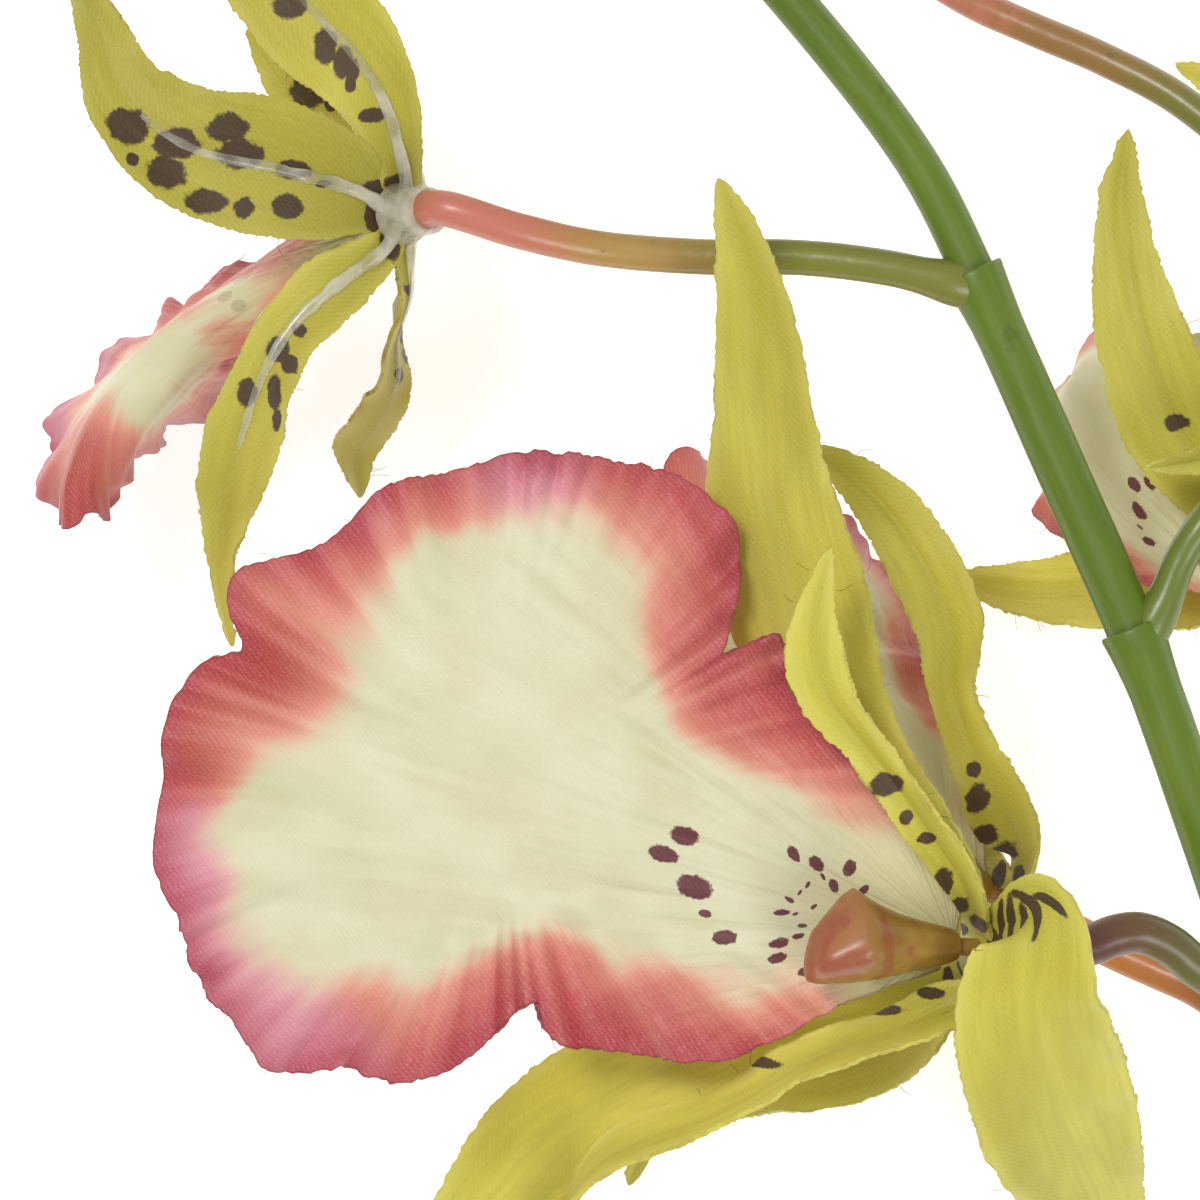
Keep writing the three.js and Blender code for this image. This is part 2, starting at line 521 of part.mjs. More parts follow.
// Clear hub with a rib on the back of each narrow petal
function ribFrame(bloom) {
  const centre = vector(bloom.centre);
  const axis = vector(bloom.axis);
  const seat = -PETAL / 2 - GAP;
  const back = seat - HUB.length;
  const bore = bloom.stalkRadius + GAP;
  const cup = turned(
    [[0, seat], [HUB.front, seat], [HUB.back, back], [bore, back], [bore, back + HUB.socket], [0, back + HUB.socket]],
    centre, axis, 9,
  );
  const offset = seat - RIB.thickness / 2;
  const ribs = bloom.tepals.map((tepal, order) => {
    const strip = { rows: RIB.stations, across: 1, half: RIB.width / 2, offset };
    return thicken(bladeSheet(bloom, tepal, order, strip), RIB.thickness);
  });
  const frame = ribs.reduce((sum, rib) => sum.add(rib), cup);
  const peg = pin(PEG_RADIUS + GAP, seat - 2.4, 2, centre, axis);
  return largestPiece(frame.subtract(peg).subtract(tepalsTogether(bloom, GAP + 0.05)));
}

// Lip
function blankOutline(count) {
  const outline = new THREE.CatmullRomCurve3(
    LIP_BLANK.map(([x, y]) => new THREE.Vector3(x, y, 0)), true, "catmullrom", 0.5,
  );
  return outline.getSpacedPoints(count);
}

function lipSheet(bloom, rim, rings) {
  const { middle, face, fold, size, ruffle } = bloom.lip;
  const path = curveThrough(middle.map(vector));
  const length = path.getLength();
  const outline = blankOutline(rim);
  const forward = [-Math.cos(LIP_SLANT), Math.sin(LIP_SLANT)];
  const sheet = new THREE.PlaneGeometry(1, 1, rim, rings);
  const position = sheet.attributes.position;
  for (let i = 0; i < position.count; i += 1) {
    const turn = (position.getX(i) + 0.5) * rim;
    const out = Math.sqrt(position.getY(i) + 0.5);
    const edge = outline[Math.round(turn) % rim];
    const x = LIP_MIDDLE[0] + (edge.x - LIP_MIDDLE[0]) * out;
    const y = LIP_MIDDLE[1] + (edge.y - LIP_MIDDLE[1]) * out;
    const ahead = Math.max(0, (x * forward[0] + y * forward[1]) * size);
    const pinch = size === 1 ? 1 : Math.min(1, 0.2 + ahead / 18);
    const side = (x * forward[1] - y * forward[0]) * size * pinch;
    const way = Math.min(1, ahead / length);
    const t = path.getUtoTmapping(way);
    const at = path.getPoint(t);
    const tangent = path.getTangent(t);
    at.addScaledVector(tangent, Math.max(0, ahead - length));
    const up = facing(face, way, tangent);
    const across = new THREE.Vector3().crossVectors(tangent, up);
    const bend = Math.min(Math.abs(side) / fold.radius, fold.angle);
    const straight = Math.abs(side) - bend * fold.radius;
    const reach = fold.radius * Math.sin(bend) + straight * Math.cos(bend);
    const drop = fold.radius * (1 - Math.cos(bend)) + straight * Math.sin(bend);
    const wave = ruffle * out ** 5 * Math.sin((turn / rim) * Math.PI * 2 * 13) * Math.min(1, ahead / 14);
    at.addScaledVector(across, Math.sign(side) * reach);
    at.addScaledVector(up, drop * fold.towards + wave);
    position.setXYZ(i, at.x, at.y, Math.max(at.z, PETAL / 2));
  }
  return sheet;
}

function lipOf(bloom) {
  const centre = vector(bloom.centre);
  const axis = vector(bloom.axis);
  const large = bloom.lip.size === 1;
  const blank = thicken(lipSheet(bloom, large ? 60 : 34, large ? 4 : 3), PETAL);
  const seat = PETAL / 2 + GAP + 0.05;
  const washer = pin(2.3, seat, seat + PETAL, centre, axis, 12);
  return largestPiece(blank.add(washer).subtract(pin(PEG_RADIUS + GAP, 0, 2.2, centre, axis)));
}

// Column: a hooded body on a short neck, with the peg that pins the petals to the hub
function columnOf(bloom) {
  const centre = vector(bloom.centre);
  const axis = vector(bloom.axis).normalize();
  const foot = PETAL * 1.5 + GAP * 2 + 0.1;
  const base = centre.clone().addScaledVector(axis, foot + COLUMN.clearance);
  const { length, neck, belly, tip } = COLUMN;
  const body = turned(
    [[0, 0], [neck, 0], [neck * 1.25, length * 0.2], [belly * 0.85, length * 0.55], [belly, length * 0.74],
      [belly * 0.82, length * 0.9], [tip, length * 0.98], [0, length]],
    base, vector(bloom.column), 9,
  );
  const peg = pin(PEG_RADIUS, -PETAL / 2 - GAP - 2, foot + COLUMN.clearance + 1, centre, axis);
  return body.add(peg);
}

// Main stem
const stemPath = curveThrough(STEM.map(({ at }) => vector(at)));
const STEM_SAMPLES = 60;
const stemLengths = stemPath.getLengths((STEM.length - 1) * STEM_SAMPLES);
const stemLength = stemLengths[stemLengths.length - 1];
const nodeStations = STEM.flatMap(({ node }, i) => (node ? [stemLengths[i * STEM_SAMPLES]] : []));
const segmentRadii = [STALK_RADIUS, ...STEM.flatMap(({ node }) => (node ? [node] : []))];

function stemStretch(from, to, count) {
  return Array.from({ length: count + 1 }, (_, i) => {
    const reach = from + ((to - from) * i) / count;
    return stemPath.getPointAt(Math.min(1, Math.max(0, reach / stemLength)));
  });
}

function segmentTube(order, grow = 0) {
  const radius = segmentRadii[order] + grow;
  const first = order === 0 ? 0 : nodeStations[order - 1] - PLUG - grow;
  const last = order === nodeStations.length ? stemLength : nodeStations[order] + PLUG;
  const steps = order === 0 ? 12 : 4;
  const flare = order === nodeStations.length ? 0 : COLLAR_FLARE;
  const span = last - first;
  const radiusAt = (way) => {
    const fromTop = (1 - way) * span;
    return radius * (1 + flare * Math.max(0, 1 - fromTop / COLLAR_LENGTH));
  };
  return tube(stemStretch(first, last, steps * 2), radiusAt, { sides: 9, steps });
}

function coreTube(radius) {
  const end = nodeStations[nodeStations.length - 1] - PLUG - GAP;
  return tube(stemStretch(0, end, CORE_ROWS), () => radius, { sides: BORE_SIDES, steps: CORE_ROWS });
}

// Flower stalks
function stalkPoints({ node, stalk, centre, axis }) {
  const start = stemPath.getPointAt(nodeStations[node] / stemLength);
  const points = [start, ...stalk.map(vector)];
  if (!centre) return points;
  const seat = PETAL / 2 + GAP + HUB.length;
  const hub = vector(centre);
  const aim = vector(axis).normalize();
  const entry = hub.clone().addScaledVector(aim, -seat - 2);
  const end = hub.clone().addScaledVector(aim, -seat + HUB.socket - GAP);
  return [...points, entry, end];
}

const stalkRows = ({ centre, stalk }) => (centre ? Math.max(11, stalk.length + 4) : 7);

function flowerStalk(flower, radius, bore, grow = 0) {
  return tube(stalkPoints(flower), () => radius + grow, { sides: 7, steps: stalkRows(flower), bore });
}

function flowerWire(bloom) {
  const steps = stalkRows(bloom);
  return tube(stalkPoints(bloom), () => FLOWER_WIRE_RADIUS, { sides: BORE_SIDES, steps, inset: 1 });
}

// Buds: closed petals, three of them standing proud as ridges
function budBody({ aim, length, radius }, foot) {
  const sphere = new THREE.SphereGeometry(1, 12, 7);
  const position = sphere.attributes.position;
  for (let i = 0; i < position.count; i += 1) {
    const [x, y, z] = [position.getX(i), position.getY(i), position.getZ(i)];
    const turn = Math.atan2(z, x);
    const swell = (1 - 0.22 * y) * (1 + 0.07 * Math.cos(3 * turn));
    position.setXYZ(i, x * radius * swell, (y + 1) * (length / 2), z * radius * swell);
  }
  const way = vector(aim).normalize();
  sphere.applyQuaternion(new THREE.Quaternion().setFromUnitVectors(new THREE.Vector3(0, 1, 0), way));
  sphere.translate(foot.x, foot.y, foot.z);
  return solidOf(sphere);
}

// Assembly
const orchid = new THREE.Group();

function place(name, solid, finish) {
  const material = new THREE.MeshStandardMaterial({ ...FINISHES[finish] });
  const mesh = new THREE.Mesh(geometryOf(solid), material);
  mesh.name = name;
  orchid.add(mesh);
}

const flowers = [...BLOOMS, ...BUDS.map((bud) => ({ ...bud, stalkRadius: bud.radius * 0.3 }))];
const coreSpace = coreTube(WIRE_RADIUS + GAP);

function placeSegments() {
  segmentRadii.forEach((_, order) => {
    let segment = segmentTube(order);
    if (order < nodeStations.length) {
      segment = segment.subtract(segmentTube(order + 1, GAP)).subtract(coreSpace);
      for (const flower of flowers.filter(({ node }) => node === order)) {
        segment = segment.subtract(flowerStalk(flower, flower.stalkRadius, 0, GAP));
      }
    }
    const name = order === 0 ? "stem_stalk" : `stem_segment_${order}`;
    place(name, largestPiece(segment), "stem");
  });
  place("stem_wire_core", coreTube(WIRE_RADIUS), "wire");
}

const seated = (solid, { node }) => largestPiece(solid.subtract(segmentTube(node + 1, GAP)).subtract(coreSpace));

function placeBloom(bloom) {
  place(`${bloom.name}_pedicel`, seated(flowerStalk(bloom, bloom.stalkRadius, FLOWER_WIRE_BORE), bloom), "flowerStalk");
  place(`${bloom.name}_pedicel_wire`, seated(flowerWire(bloom), bloom), "wire");
  place(`${bloom.name}_rib_frame`, ribFrame(bloom), "clear");
  place(`${bloom.name}_tepals`, tepalStar(bloom), "petal");
  place(`${bloom.name}_lip`, lipOf(bloom), "lip");
  place(`${bloom.name}_column`, columnOf(bloom), "column");
}

function placeBuds() {
  for (const bud of BUDS) {
    const stalk = seated(flowerStalk(bud, bud.radius * 0.3, 0), bud);
    const foot = vector(bud.stalk[bud.stalk.length - 1]).addScaledVector(vector(bud.aim).normalize(), -0.6);
    place(bud.name, stalk.add(budBody(bud, foot)), "bud");
  }
  const end = stemPath.getPointAt(1);
  const foot = end.clone().addScaledVector(vector(TIP_BUD.aim).normalize(), GAP);
  place(TIP_BUD.name, budBody(TIP_BUD, foot), "bud");
}

placeSegments();
BLOOMS.forEach(placeBloom);
placeBuds();

// The origin is the middle of the whole part's outer box, at the height of the surface it lies on
const bounds = new THREE.Box3().setFromObject(orchid);
const middle = bounds.getCenter(new THREE.Vector3());
orchid.position.set(-middle.x, -middle.y, -bounds.min.z);

export default orchid;
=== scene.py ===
# A spider orchid stem: cloth petals and lips on clear ribs, pinned through ochre columns, on a jointed
# green stem that lies on a pale surface. The camera looks straight down on the large bloom.
import bisect
import math
import random

import bmesh
import bpy
from mathutils import Matrix, Vector, kdtree, noise


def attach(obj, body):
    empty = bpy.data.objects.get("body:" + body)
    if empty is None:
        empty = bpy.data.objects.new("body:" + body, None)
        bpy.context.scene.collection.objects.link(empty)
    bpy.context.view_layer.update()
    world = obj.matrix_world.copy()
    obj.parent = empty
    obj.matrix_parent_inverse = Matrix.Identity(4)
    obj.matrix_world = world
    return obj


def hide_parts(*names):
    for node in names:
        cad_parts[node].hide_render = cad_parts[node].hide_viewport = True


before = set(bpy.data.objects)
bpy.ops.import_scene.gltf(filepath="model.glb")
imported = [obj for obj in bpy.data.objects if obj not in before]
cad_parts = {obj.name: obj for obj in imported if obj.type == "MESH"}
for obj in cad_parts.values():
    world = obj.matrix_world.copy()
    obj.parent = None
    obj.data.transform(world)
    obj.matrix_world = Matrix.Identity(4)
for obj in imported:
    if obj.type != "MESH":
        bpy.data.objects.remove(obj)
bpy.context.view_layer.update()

# The part is laid out in millimetres, with 0, 0 under the camera, and then moved to the part's frame
TO_PART = Matrix.Scale(0.001, 4) @ Matrix.Translation((-67.6569767, 152.0278511, 0))
FULL_TURN = 2 * math.pi

# Sizes, in millimetres
CLOTH = 0.45
SEAT = 0.6
HUB_FRONT, HUB_LENGTH = 3.6, 6
COLUMN_BASE, COLUMN_LENGTH = 3.1, 15.5
# A stalk straightens this far behind its bloom's centre, and ends this far behind it
STALK_ENTRY, STALK_END = 8.6, 3.9
# The play between a stalk or segment and the bore it is plugged into
BORE_GAP = 0.12
# The petals of a bloom share one cloth map, side by side at this spacing
PETAL_SPACING = 40
WEAVE = 0.46

# The camera looks straight down on the large bloom and shows 120 mm of it across the frame
CAMERA_HEIGHT, SIGHT_HEIGHT, FRAME_WIDTH = 2000, 45, 120

# Fineness: rows and columns of a petal, rows of a rib, and steps round and across the large and small lips
PETAL_ROWS, PETAL_COLUMNS = 170, 14
RIB_ROWS = 40
LARGE_LIP_MESH, SMALL_LIP_MESH = (520, 60), (360, 40)
PETAL_THREADS, LARGE_LIP_THREADS, SMALL_LIP_THREADS = 5, 26, 10

# The lip's flat blank: offsets from its throat, x then y
LIP_BLANK = [
  [-2.4, 10.6], [-0.8, 7], [0.4, 4], [1.2, 1.5], [0.8, -2], [-2, -3.5], [-8.2, -5.5], [-12, -7.2],
  [-16.2, -9.8], [-21, -11.8], [-25, -12.3], [-31, -12], [-37.5, -11.2], [-40.5, -9.3], [-41.6, -6.3],
  [-43.8, -7.8], [-46, -10.5], [-50, -13.3], [-55, -14.3], [-60.5, -13.8], [-66, -14.3], [-68.8, -13.6],
  [-71.8, -8.8], [-75, -6.5], [-77.2, -2.5], [-77.5, 2], [-79.5, 6.5], [-80.2, 10.5], [-79.2, 16.5],
  [-78.2, 22.3], [-75.2, 27.5], [-71, 29], [-72.4, 33.5], [-70.5, 36.7], [-65, 38.5], [-60, 41.5],
  [-56.5, 44.7], [-51, 46.7], [-45, 48], [-40, 48.3], [-35, 48.5], [-29, 46.9], [-25, 44.7],
  [-21.5, 42], [-20.5, 38.5], [-21, 33.5], [-22.8, 28], [-20.2, 29.7], [-18.2, 30.5], [-16.5, 28.5],
  [-16, 24.5], [-12, 19.5], [-7, 14.5],
]
LIP_MIDDLE = (-45, 14.5)
LIP_SLANT = 0.387

# The main stem's centreline from the cut end to the tip, with the segment radius above each node
STEM = [
  ([190, -430, 3.2], 0),
  ([178, -370, 6], 0),
  ([158, -290, 14], 0),
  ([135, -215, 24], 0),
  ([110, -150, 33], 0),
  ([87.5, -93, 40], 2.9),
  ([76.7, -66.5, 43], 2.8),
  ([66, -39, 45], 2.7),
  ([60, -21.8, 46], 0),
  ([53.9, -4.8, 46], 2.6),
  ([45.8, 13.8, 46], 0),
  ([38.1, 31, 46], 2.2),
  ([31.2, 44.5, 46], 0),
  ([19.1, 60, 46], 0),
  ([7, 73, 46], 1.95),
  ([-12, 91, 45], 1.8),
  ([-30, 104, 43], 1.5),
  ([-46, 112, 40], 0),
]
STALK_RADIUS = 3

# Each bloom: the stem's node it grows from, its centre, the way it faces, its stalk, its five petals, its lip
# and the way its column points. A petal is the way its root points, its spine as points with half-widths,
# and the ways it faces along its run, after the bloom's own way.
BLOOMS = [
  {
    "name": "bloom_1", "node": 4, "centre": [-20.5, 38.6, 43.5], "axis": [-0.6, -0.05, -0.8],
    "stalk": [[33.5, 32.1, 47.2], [28, 33.3, 47.4], [20, 34.2, 47], [10, 34.3, 46.8], [0, 35.1, 47.5],
      [-8, 36.8, 50]],
    "stalk_radius": 1.8,
    "tepals": [
      ([-0.8, 0.1, 0.6], [[-25, 41, 48, 5.2], [-32.4, 43, 52, 6.9], [-40.6, 45, 54.8, 6.2],
        [-46.8, 49.6, 55, 4.5], [-49.6, 56.2, 53, 2.8], [-51.3, 60.5, 50.5, 1.8], [-52, 65.5, 46, 0.5]],
        [[-0.1, 0.1, -1], [0.2, 0.1, -1], [0.5, 0.1, -0.8]]),
      ([0.1, 1, -0.1], [[-20, 42.5, 44, 2.6], [-21.5, 49, 45, 4], [-24.3, 54, 46, 5.2],
        [-28.2, 58.3, 47, 6.2], [-32.3, 63.5, 47.5, 6], [-36.8, 70, 47, 5], [-41, 77, 45, 3],
        [-44, 83, 42, 0.5]],
        [[-0.1, 0.1, -1], [0.1, 0.1, -1]]),
      ([0.45, 0.55, -0.4], [[-18.6, 42, 40.5, 3], [-20, 46, 35.5, 4.2], [-24, 49.5, 31.5, 5],
        [-28.5, 52.5, 29.5, 5], [-31.5, 57, 28.5, 4.2], [-32.5, 62, 28.5, 2.6], [-32, 66.5, 29, 0.5]],
        [[-0.7, -0.5, 0.4], [-0.2, -0.3, 0.9], [0, -0.2, 1]]),
      ([-0.35, -0.85, 0.25], [[-22.2, 34.8, 45, 2.4], [-27, 31, 46.6, 3.5], [-31, 27, 47, 3.2],
        [-33.8, 22, 47, 3.2], [-35.5, 17, 46.5, 4], [-37.2, 11, 45.5, 3.4], [-37.8, 6, 44.5, 2.1],
        [-37.8, 1, 44, 0.9], [-36.6, -4.6, 43.5, 0.5]],
        [[0.1, 0.1, -1], [0.3, 0, -0.9], [0.5, 0, -0.8]]),
      ([0.25, -0.85, -0.3], [[-19.7, 35.5, 41.5, 1.6], [-19.5, 31, 37, 1.8], [-20.8, 26.5, 31.5, 2.6],
        [-20.8, 22, 26, 2.6], [-22.8, 18, 20.5, 2.8], [-24.8, 15, 15.5, 2.2], [-24.3, 10.7, 11, 0.5]],
        [[-1, -0.2, -0.3], [-0.4, 0.6, -0.7], [0.3, 0.6, -0.7]]),
    ],
    "lip": {
      "size": 0.63, "ruffle": 1, "fold": {"radius": 2.8, "angle": 1.48, "towards": 1},
      "middle": [[-22.6, 37.2, 41.4], [-29, 33.4, 40], [-34.5, 30, 39.6], [-40.5, 26.2, 39.4],
        [-45.6, 21.6, 39], [-49.4, 16.6, 38.4], [-51.2, 11.6, 37.4], [-51.2, 7.3, 36]],
      "face": [[0, 0, -1], [-0.05, -0.1, -1], [-0.05, -0.1, -1]],
    },
    "column": [0.06, 0.03, -1],
  },
  {
    "name": "bloom_2", "node": 2, "centre": [37.5, -34.5, 60], "axis": [-0.83, 0.05, 0.55],
    "stalk": [[63.8, -38.8, 47.5], [59.8, -36.8, 49.6], [56.8, -34.4, 51], [54, -33.2, 52],
      [51.4, -33.4, 52.8], [48.6, -34.4, 53.6]],
    "stalk_radius": 2.1,
    "tepals": [
      ([0, 1, -0.2], [[36.3, -27.5, 59, 2], [32.5, -21.5, 57.5, 2.4], [28, -16, 55.5, 3.4],
        [23.8, -10, 53.8, 5.2], [20, -1, 53, 7.3], [17.2, 9, 53, 6.6], [16.4, 17, 54, 5.2],
        [15.4, 28, 56.5, 3.9], [13.6, 36.5, 59, 2.3], [11.7, 41.8, 60.5, 0.5]],
        [[-0.2, 0, 1], [-0.1, 0, 1], [0, 0, 1]]),
      ([0.1, 0.75, 0.55], [[35.8, -28, 63.8, 2.4], [32.3, -22.8, 65.3, 2.5], [29, -18, 65.6, 2.1],
        [25.7, -13.8, 65.4, 2.2], [22.6, -9.8, 65.2, 2.8], [21.2, -5, 65.4, 3], [21.5, 0, 65.8, 1.7],
        [22.9, 5.3, 66, 0.5]],
        [[-0.4, -0.2, 0.9], [-0.1, 0, 1], [0, 0, 1]]),
      ([0.55, 0.2, 0.8], [[40.2, -32.2, 64.6, 3], [42.4, -31.4, 68, 4.6], [43, -34.3, 69.8, 6],
        [42.7, -39.5, 68.2, 7.4], [43.3, -44.1, 64.5, 8.1], [44.6, -48.7, 59.3, 8.1],
        [46.1, -53.1, 53, 7.7], [49.4, -60.6, 41, 5.4], [52, -66.4, 31, 2.9], [53.8, -71, 22, 0.5]],
        [[-0.1, 0.2, 1], [0, 0, 1], [0, 0, 1], [0, 0, 1]]),
      ([0.25, -0.8, 0.4], [[37.6, -39.4, 62.5, 2.2], [34, -40.5, 62, 3], [29.3, -42.6, 60.5, 3],
        [24, -44.4, 59, 3], [19.8, -46.2, 57.8, 3], [15.5, -49, 56.5, 3.2], [10.8, -51.4, 55, 3.2],
        [5, -53.4, 53, 3.2], [0.5, -55.7, 51, 3], [-2.5, -59, 47.5, 2.6], [-5, -63.5, 42, 1.6],
        [-6.5, -67.5, 37, 0.5]],
        [[0.1, 0.8, 0.6], [0.1, 0.75, 0.65], [0.5, 0.4, 0.75]]),
      ([-0.2, -0.8, -0.5], [[35.5, -38.6, 57, 2.4], [28, -40.6, 54, 3.4], [18.5, -42.8, 52, 4.8],
        [9.5, -45.5, 50, 6], [1.5, -49.5, 47.3, 6.6], [-5.2, -53.7, 43.8, 6.2], [-10.8, -59.5, 39, 5],
        [-15, -65.5, 33, 3.2], [-18, -70.5, 27, 0.5]],
        [[0, 0.1, 1], [0.1, 0.1, 1], [0.2, 0.3, 0.9]]),
    ],
    "lip": {
      "size": 1, "ruffle": 1.6, "fold": {"radius": 120, "angle": 1, "towards": -1},
      "middle": [[35, -33.5, 58.8], [23.9, -29, 59.2], [11.9, -24, 60.2], [-6.7, -16.5, 60.8],
        [-25.2, -8.9, 59.5], [-39, -3.3, 57]],
      "face": [[0, 0, 1], [0, 0, 1]],
    },
    "column": [-0.93, 0.03, 0.36],
  },
  {
    "name": "bloom_3", "node": 1, "centre": [69, 1, 26], "axis": [-0.6, 0.3, 0.74],
    "stalk": [[82, -60.5, 41.5], [87.5, -46, 34.5], [89, -31, 25.5], [86, -17.5, 17.5], [82, -8.5, 13.6],
      [77.8, -3.7, 15.2]],
    "stalk_radius": 1.9,
    "tepals": [
      ([-0.3, 0.9, -0.6], [[68.8, 5.6, 25.2, 2.7], [64.2, 10, 30.5, 4.3], [58.5, 17, 33.2, 5.7],
        [55.1, 25, 33.6, 4.9], [53.2, 32.3, 32.8, 3.7], [52.5, 40.8, 31, 2.2], [53.3, 47.6, 29, 0.5]],
        [[-0.2, -0.1, 1], [0, 0, 1]]),
      ([-0.78, -0.1, -0.6], [[65.3, 0.6, 21, 2.8], [61, 0.9, 13.5, 4], [55.2, 1.1, 9, 4.1],
        [50, 1.1, 7, 4], [45, 1, 6, 3.2], [40, 1.5, 5.2, 2.1], [35.3, 2.3, 4.6, 0.5]],
        [[-0.1, 0.1, 1], [0, 0, 1]]),
      ([0.5, 0.6, 0.2], [[71.2, 5.2, 27.5, 2.2], [73.3, 10.5, 32, 2.9], [71.2, 15, 37, 3],
        [66, 15.6, 39.6, 2.4], [60, 13.9, 40.4, 1.4], [54.8, 13.1, 40.4, 0.5]],
        [[-0.6, -0.4, 0.7], [-0.1, -0.3, 1]]),
      ([0.75, -0.1, 0.6], [[73.5, 0, 29, 2.6], [80, -1, 30, 4.5], [89, -2.5, 26.5, 5.5],
        [98, -5, 18.5, 5], [106, -8, 8.5, 3.4], [112, -10.5, 1.5, 1.8], [116, -12, 0.3, 0.7]],
        [[0, 0, 1], [0.5, 0, 0.9], [0, 0, 1]]),
      ([0.45, 0.85, -0.1], [[71.8, 6, 23.5, 2.4], [74.5, 14, 21.5, 4.2], [76, 24, 19.5, 5.2],
        [75, 34, 18, 5], [71, 43, 17.5, 3.8], [66, 49.5, 18, 2.6], [61.5, 52.7, 18.5, 1.4],
        [58.3, 54.4, 19, 0.5]],
        [[-0.3, 0, 1], [0, 0, 1]]),
    ],
    "lip": {
      "size": 0.58, "ruffle": 1, "fold": {"radius": 8, "angle": 0.9, "towards": -1},
      "middle": [[67.3, 1.2, 26.6], [63, 3.2, 25.2], [58.4, 8.6, 23.6], [54.2, 15, 22.3],
        [50.8, 20.6, 20.5], [48.8, 23.4, 16.5], [48.6, 23.8, 11]],
      "face": [[-0.5, 0.3, 0.8], [-0.1, -0.1, 1], [-0.7, 0.6, 0.3]],
    },
    "column": [-0.2, 0.25, 0.95],
  },
  {
    "name": "bloom_4", "node": 0, "centre": [41, -30.3, 27], "axis": [-0.87, 0.4, 0.28],
    "stalk": [[88.5, -88.5, 35.5], [86.5, -81, 32.5], [80, -68, 30.5], [72.5, -54, 29.3],
      [66.5, -44.4, 28.3], [61, -39.8, 27.2], [56.5, -37.6, 26.2], [52, -35.6, 25.4]],
    "stalk_radius": 1.8,
    "tepals": [
      ([0.35, 0.85, 0.2], [[42.5, -26, 28.6, 3.4], [40.3, -21, 30, 3.7], [37.4, -14.8, 31.5, 2.6],
        [35.4, -9, 32.5, 2.5], [34.9, -1.5, 33, 3.6], [29.8, 8, 33, 3.3], [24.8, 13, 32, 2],
        [21, 15.5, 31, 0.5]],
        [[-0.3, 0, 0.9], [-0.2, 0, 1], [0, 0, 1], [0, 0, 1]]),
      ([-0.2, 0.6, -0.75], [[38, -25.5, 22, 2.4], [33, -19.5, 15.5, 3.4], [27, -13, 10, 4],
        [21.5, -5.5, 6, 4], [17, 2.5, 2.8, 3.2], [14.5, 9.5, 0.6, 1.9], [13.5, 13.5, 0.3, 0.6]],
        [[-0.4, 0.4, 0.8], [0, 0, 1]]),
      ([0.1, -0.6, -0.3], [[39.4, -34.8, 25, 2.6], [36, -39.2, 22, 3.4], [30.5, -44.8, 19.5, 4],
        [24, -47.6, 16.5, 3.9], [16, -48.9, 12.5, 3.4], [9, -52, 7.5, 2.4], [5, -55.5, 3, 1.3],
        [2.8, -60, 0.3, 0.5]],
        [[0, 0.1, 1], [0, 0.1, 1]]),
      ([0.3, -0.3, 0.8], [[43, -33, 31, 2.4], [46, -38.5, 31.5, 3.6], [47.5, -46, 27.5, 4],
        [49, -54, 20, 4], [51, -62, 11, 3.2], [53, -69, 3.5, 1.8], [54.5, -74, 0.3, 0.6]],
        [[0, 0.4, 1], [0, 0.5, 0.9]]),
      ([-0.2, -0.5, -0.8], [[38.8, -32.8, 22.5, 2.4], [33.5, -34.2, 17, 3.8], [26, -34.5, 11.5, 4.2],
        [17, -33.5, 7, 4], [8, -31, 3.4, 3], [1, -29, 0.8, 1.8], [-4, -27.5, 0.3, 0.6]],
        [[-0.3, 0, 1], [0, 0, 1]]),
    ],
    "lip": {
      "size": 0.7, "ruffle": 1, "fold": {"radius": 7, "angle": 0.95, "towards": -1},
      "middle": [[39.2, -30.2, 25.3], [33.2, -21.8, 25], [26.6, -12, 26.5], [19.6, -3.2, 26.5],
        [13, 4, 25.5], [8, 9, 23]],
      "face": [[-0.4, 0.1, 0.9], [0.15, 0.1, 1], [0.1, 0.1, 1]],
    },
    "column": [-0.6, 0.35, 0.7],
  },
  {
    "name": "bloom_5", "node": 3, "centre": [24.6, 68.4, 30], "axis": [-0.8, 0.5, 0.3],
    "stalk": [[56.4, 0, 46.6], [58, 4, 46.8], [60.6, 8, 47], [67, 16, 46], [71.6, 25, 42.5],
      [71, 34.5, 37], [66, 43.5, 32.5], [58.7, 50.2, 29.5], [50.9, 54.5, 27.8], [43.9, 57.5, 27],
      [37.5, 60.4, 26.4]],
    "stalk_radius": 1.7,
    "tepals": [
      ([0.5, 0.8, 0], [[27.4, 73, 30, 2.6], [32, 80, 31.5, 4.4], [37, 87, 32.5, 5.4], [41.5, 95, 32.5, 5],
        [44.5, 103, 30.5, 3.6], [46, 110, 27, 1.8], [46.5, 114, 24, 0.5]],
        [[-0.4, 0.1, 1], [0, 0.2, 1]]),
      ([0.3, -0.1, 0.9], [[26, 69, 34.8, 2.6], [25.6, 73, 39.6, 4.2], [24.8, 79, 42.5, 5],
        [24.4, 86.5, 43, 4.8], [23.8, 94.5, 41.5, 3.6], [23.5, 101, 38.5, 1.9], [23.5, 105.5, 36, 0.5]],
        [[-0.3, -0.5, 0.8], [0, 0, 1]]),
      ([-0.3, -0.75, 0.4], [[23.2, 64.6, 33, 2.4], [19.6, 63.8, 37, 3.6], [13, 66, 39.6, 4.6],
        [5, 70.5, 38.5, 4.6], [-3.5, 75.5, 33.5, 3.6], [-11, 80.5, 27.5, 1.9], [-16, 84, 23, 0.5]],
        [[-0.2, 0, 1], [0.3, 0, 1]]),
      ([-0.4, -0.4, -0.7], [[22.3, 66.3, 25.6, 2.4], [18, 68, 20, 3.6], [12.5, 71, 14, 4.6],
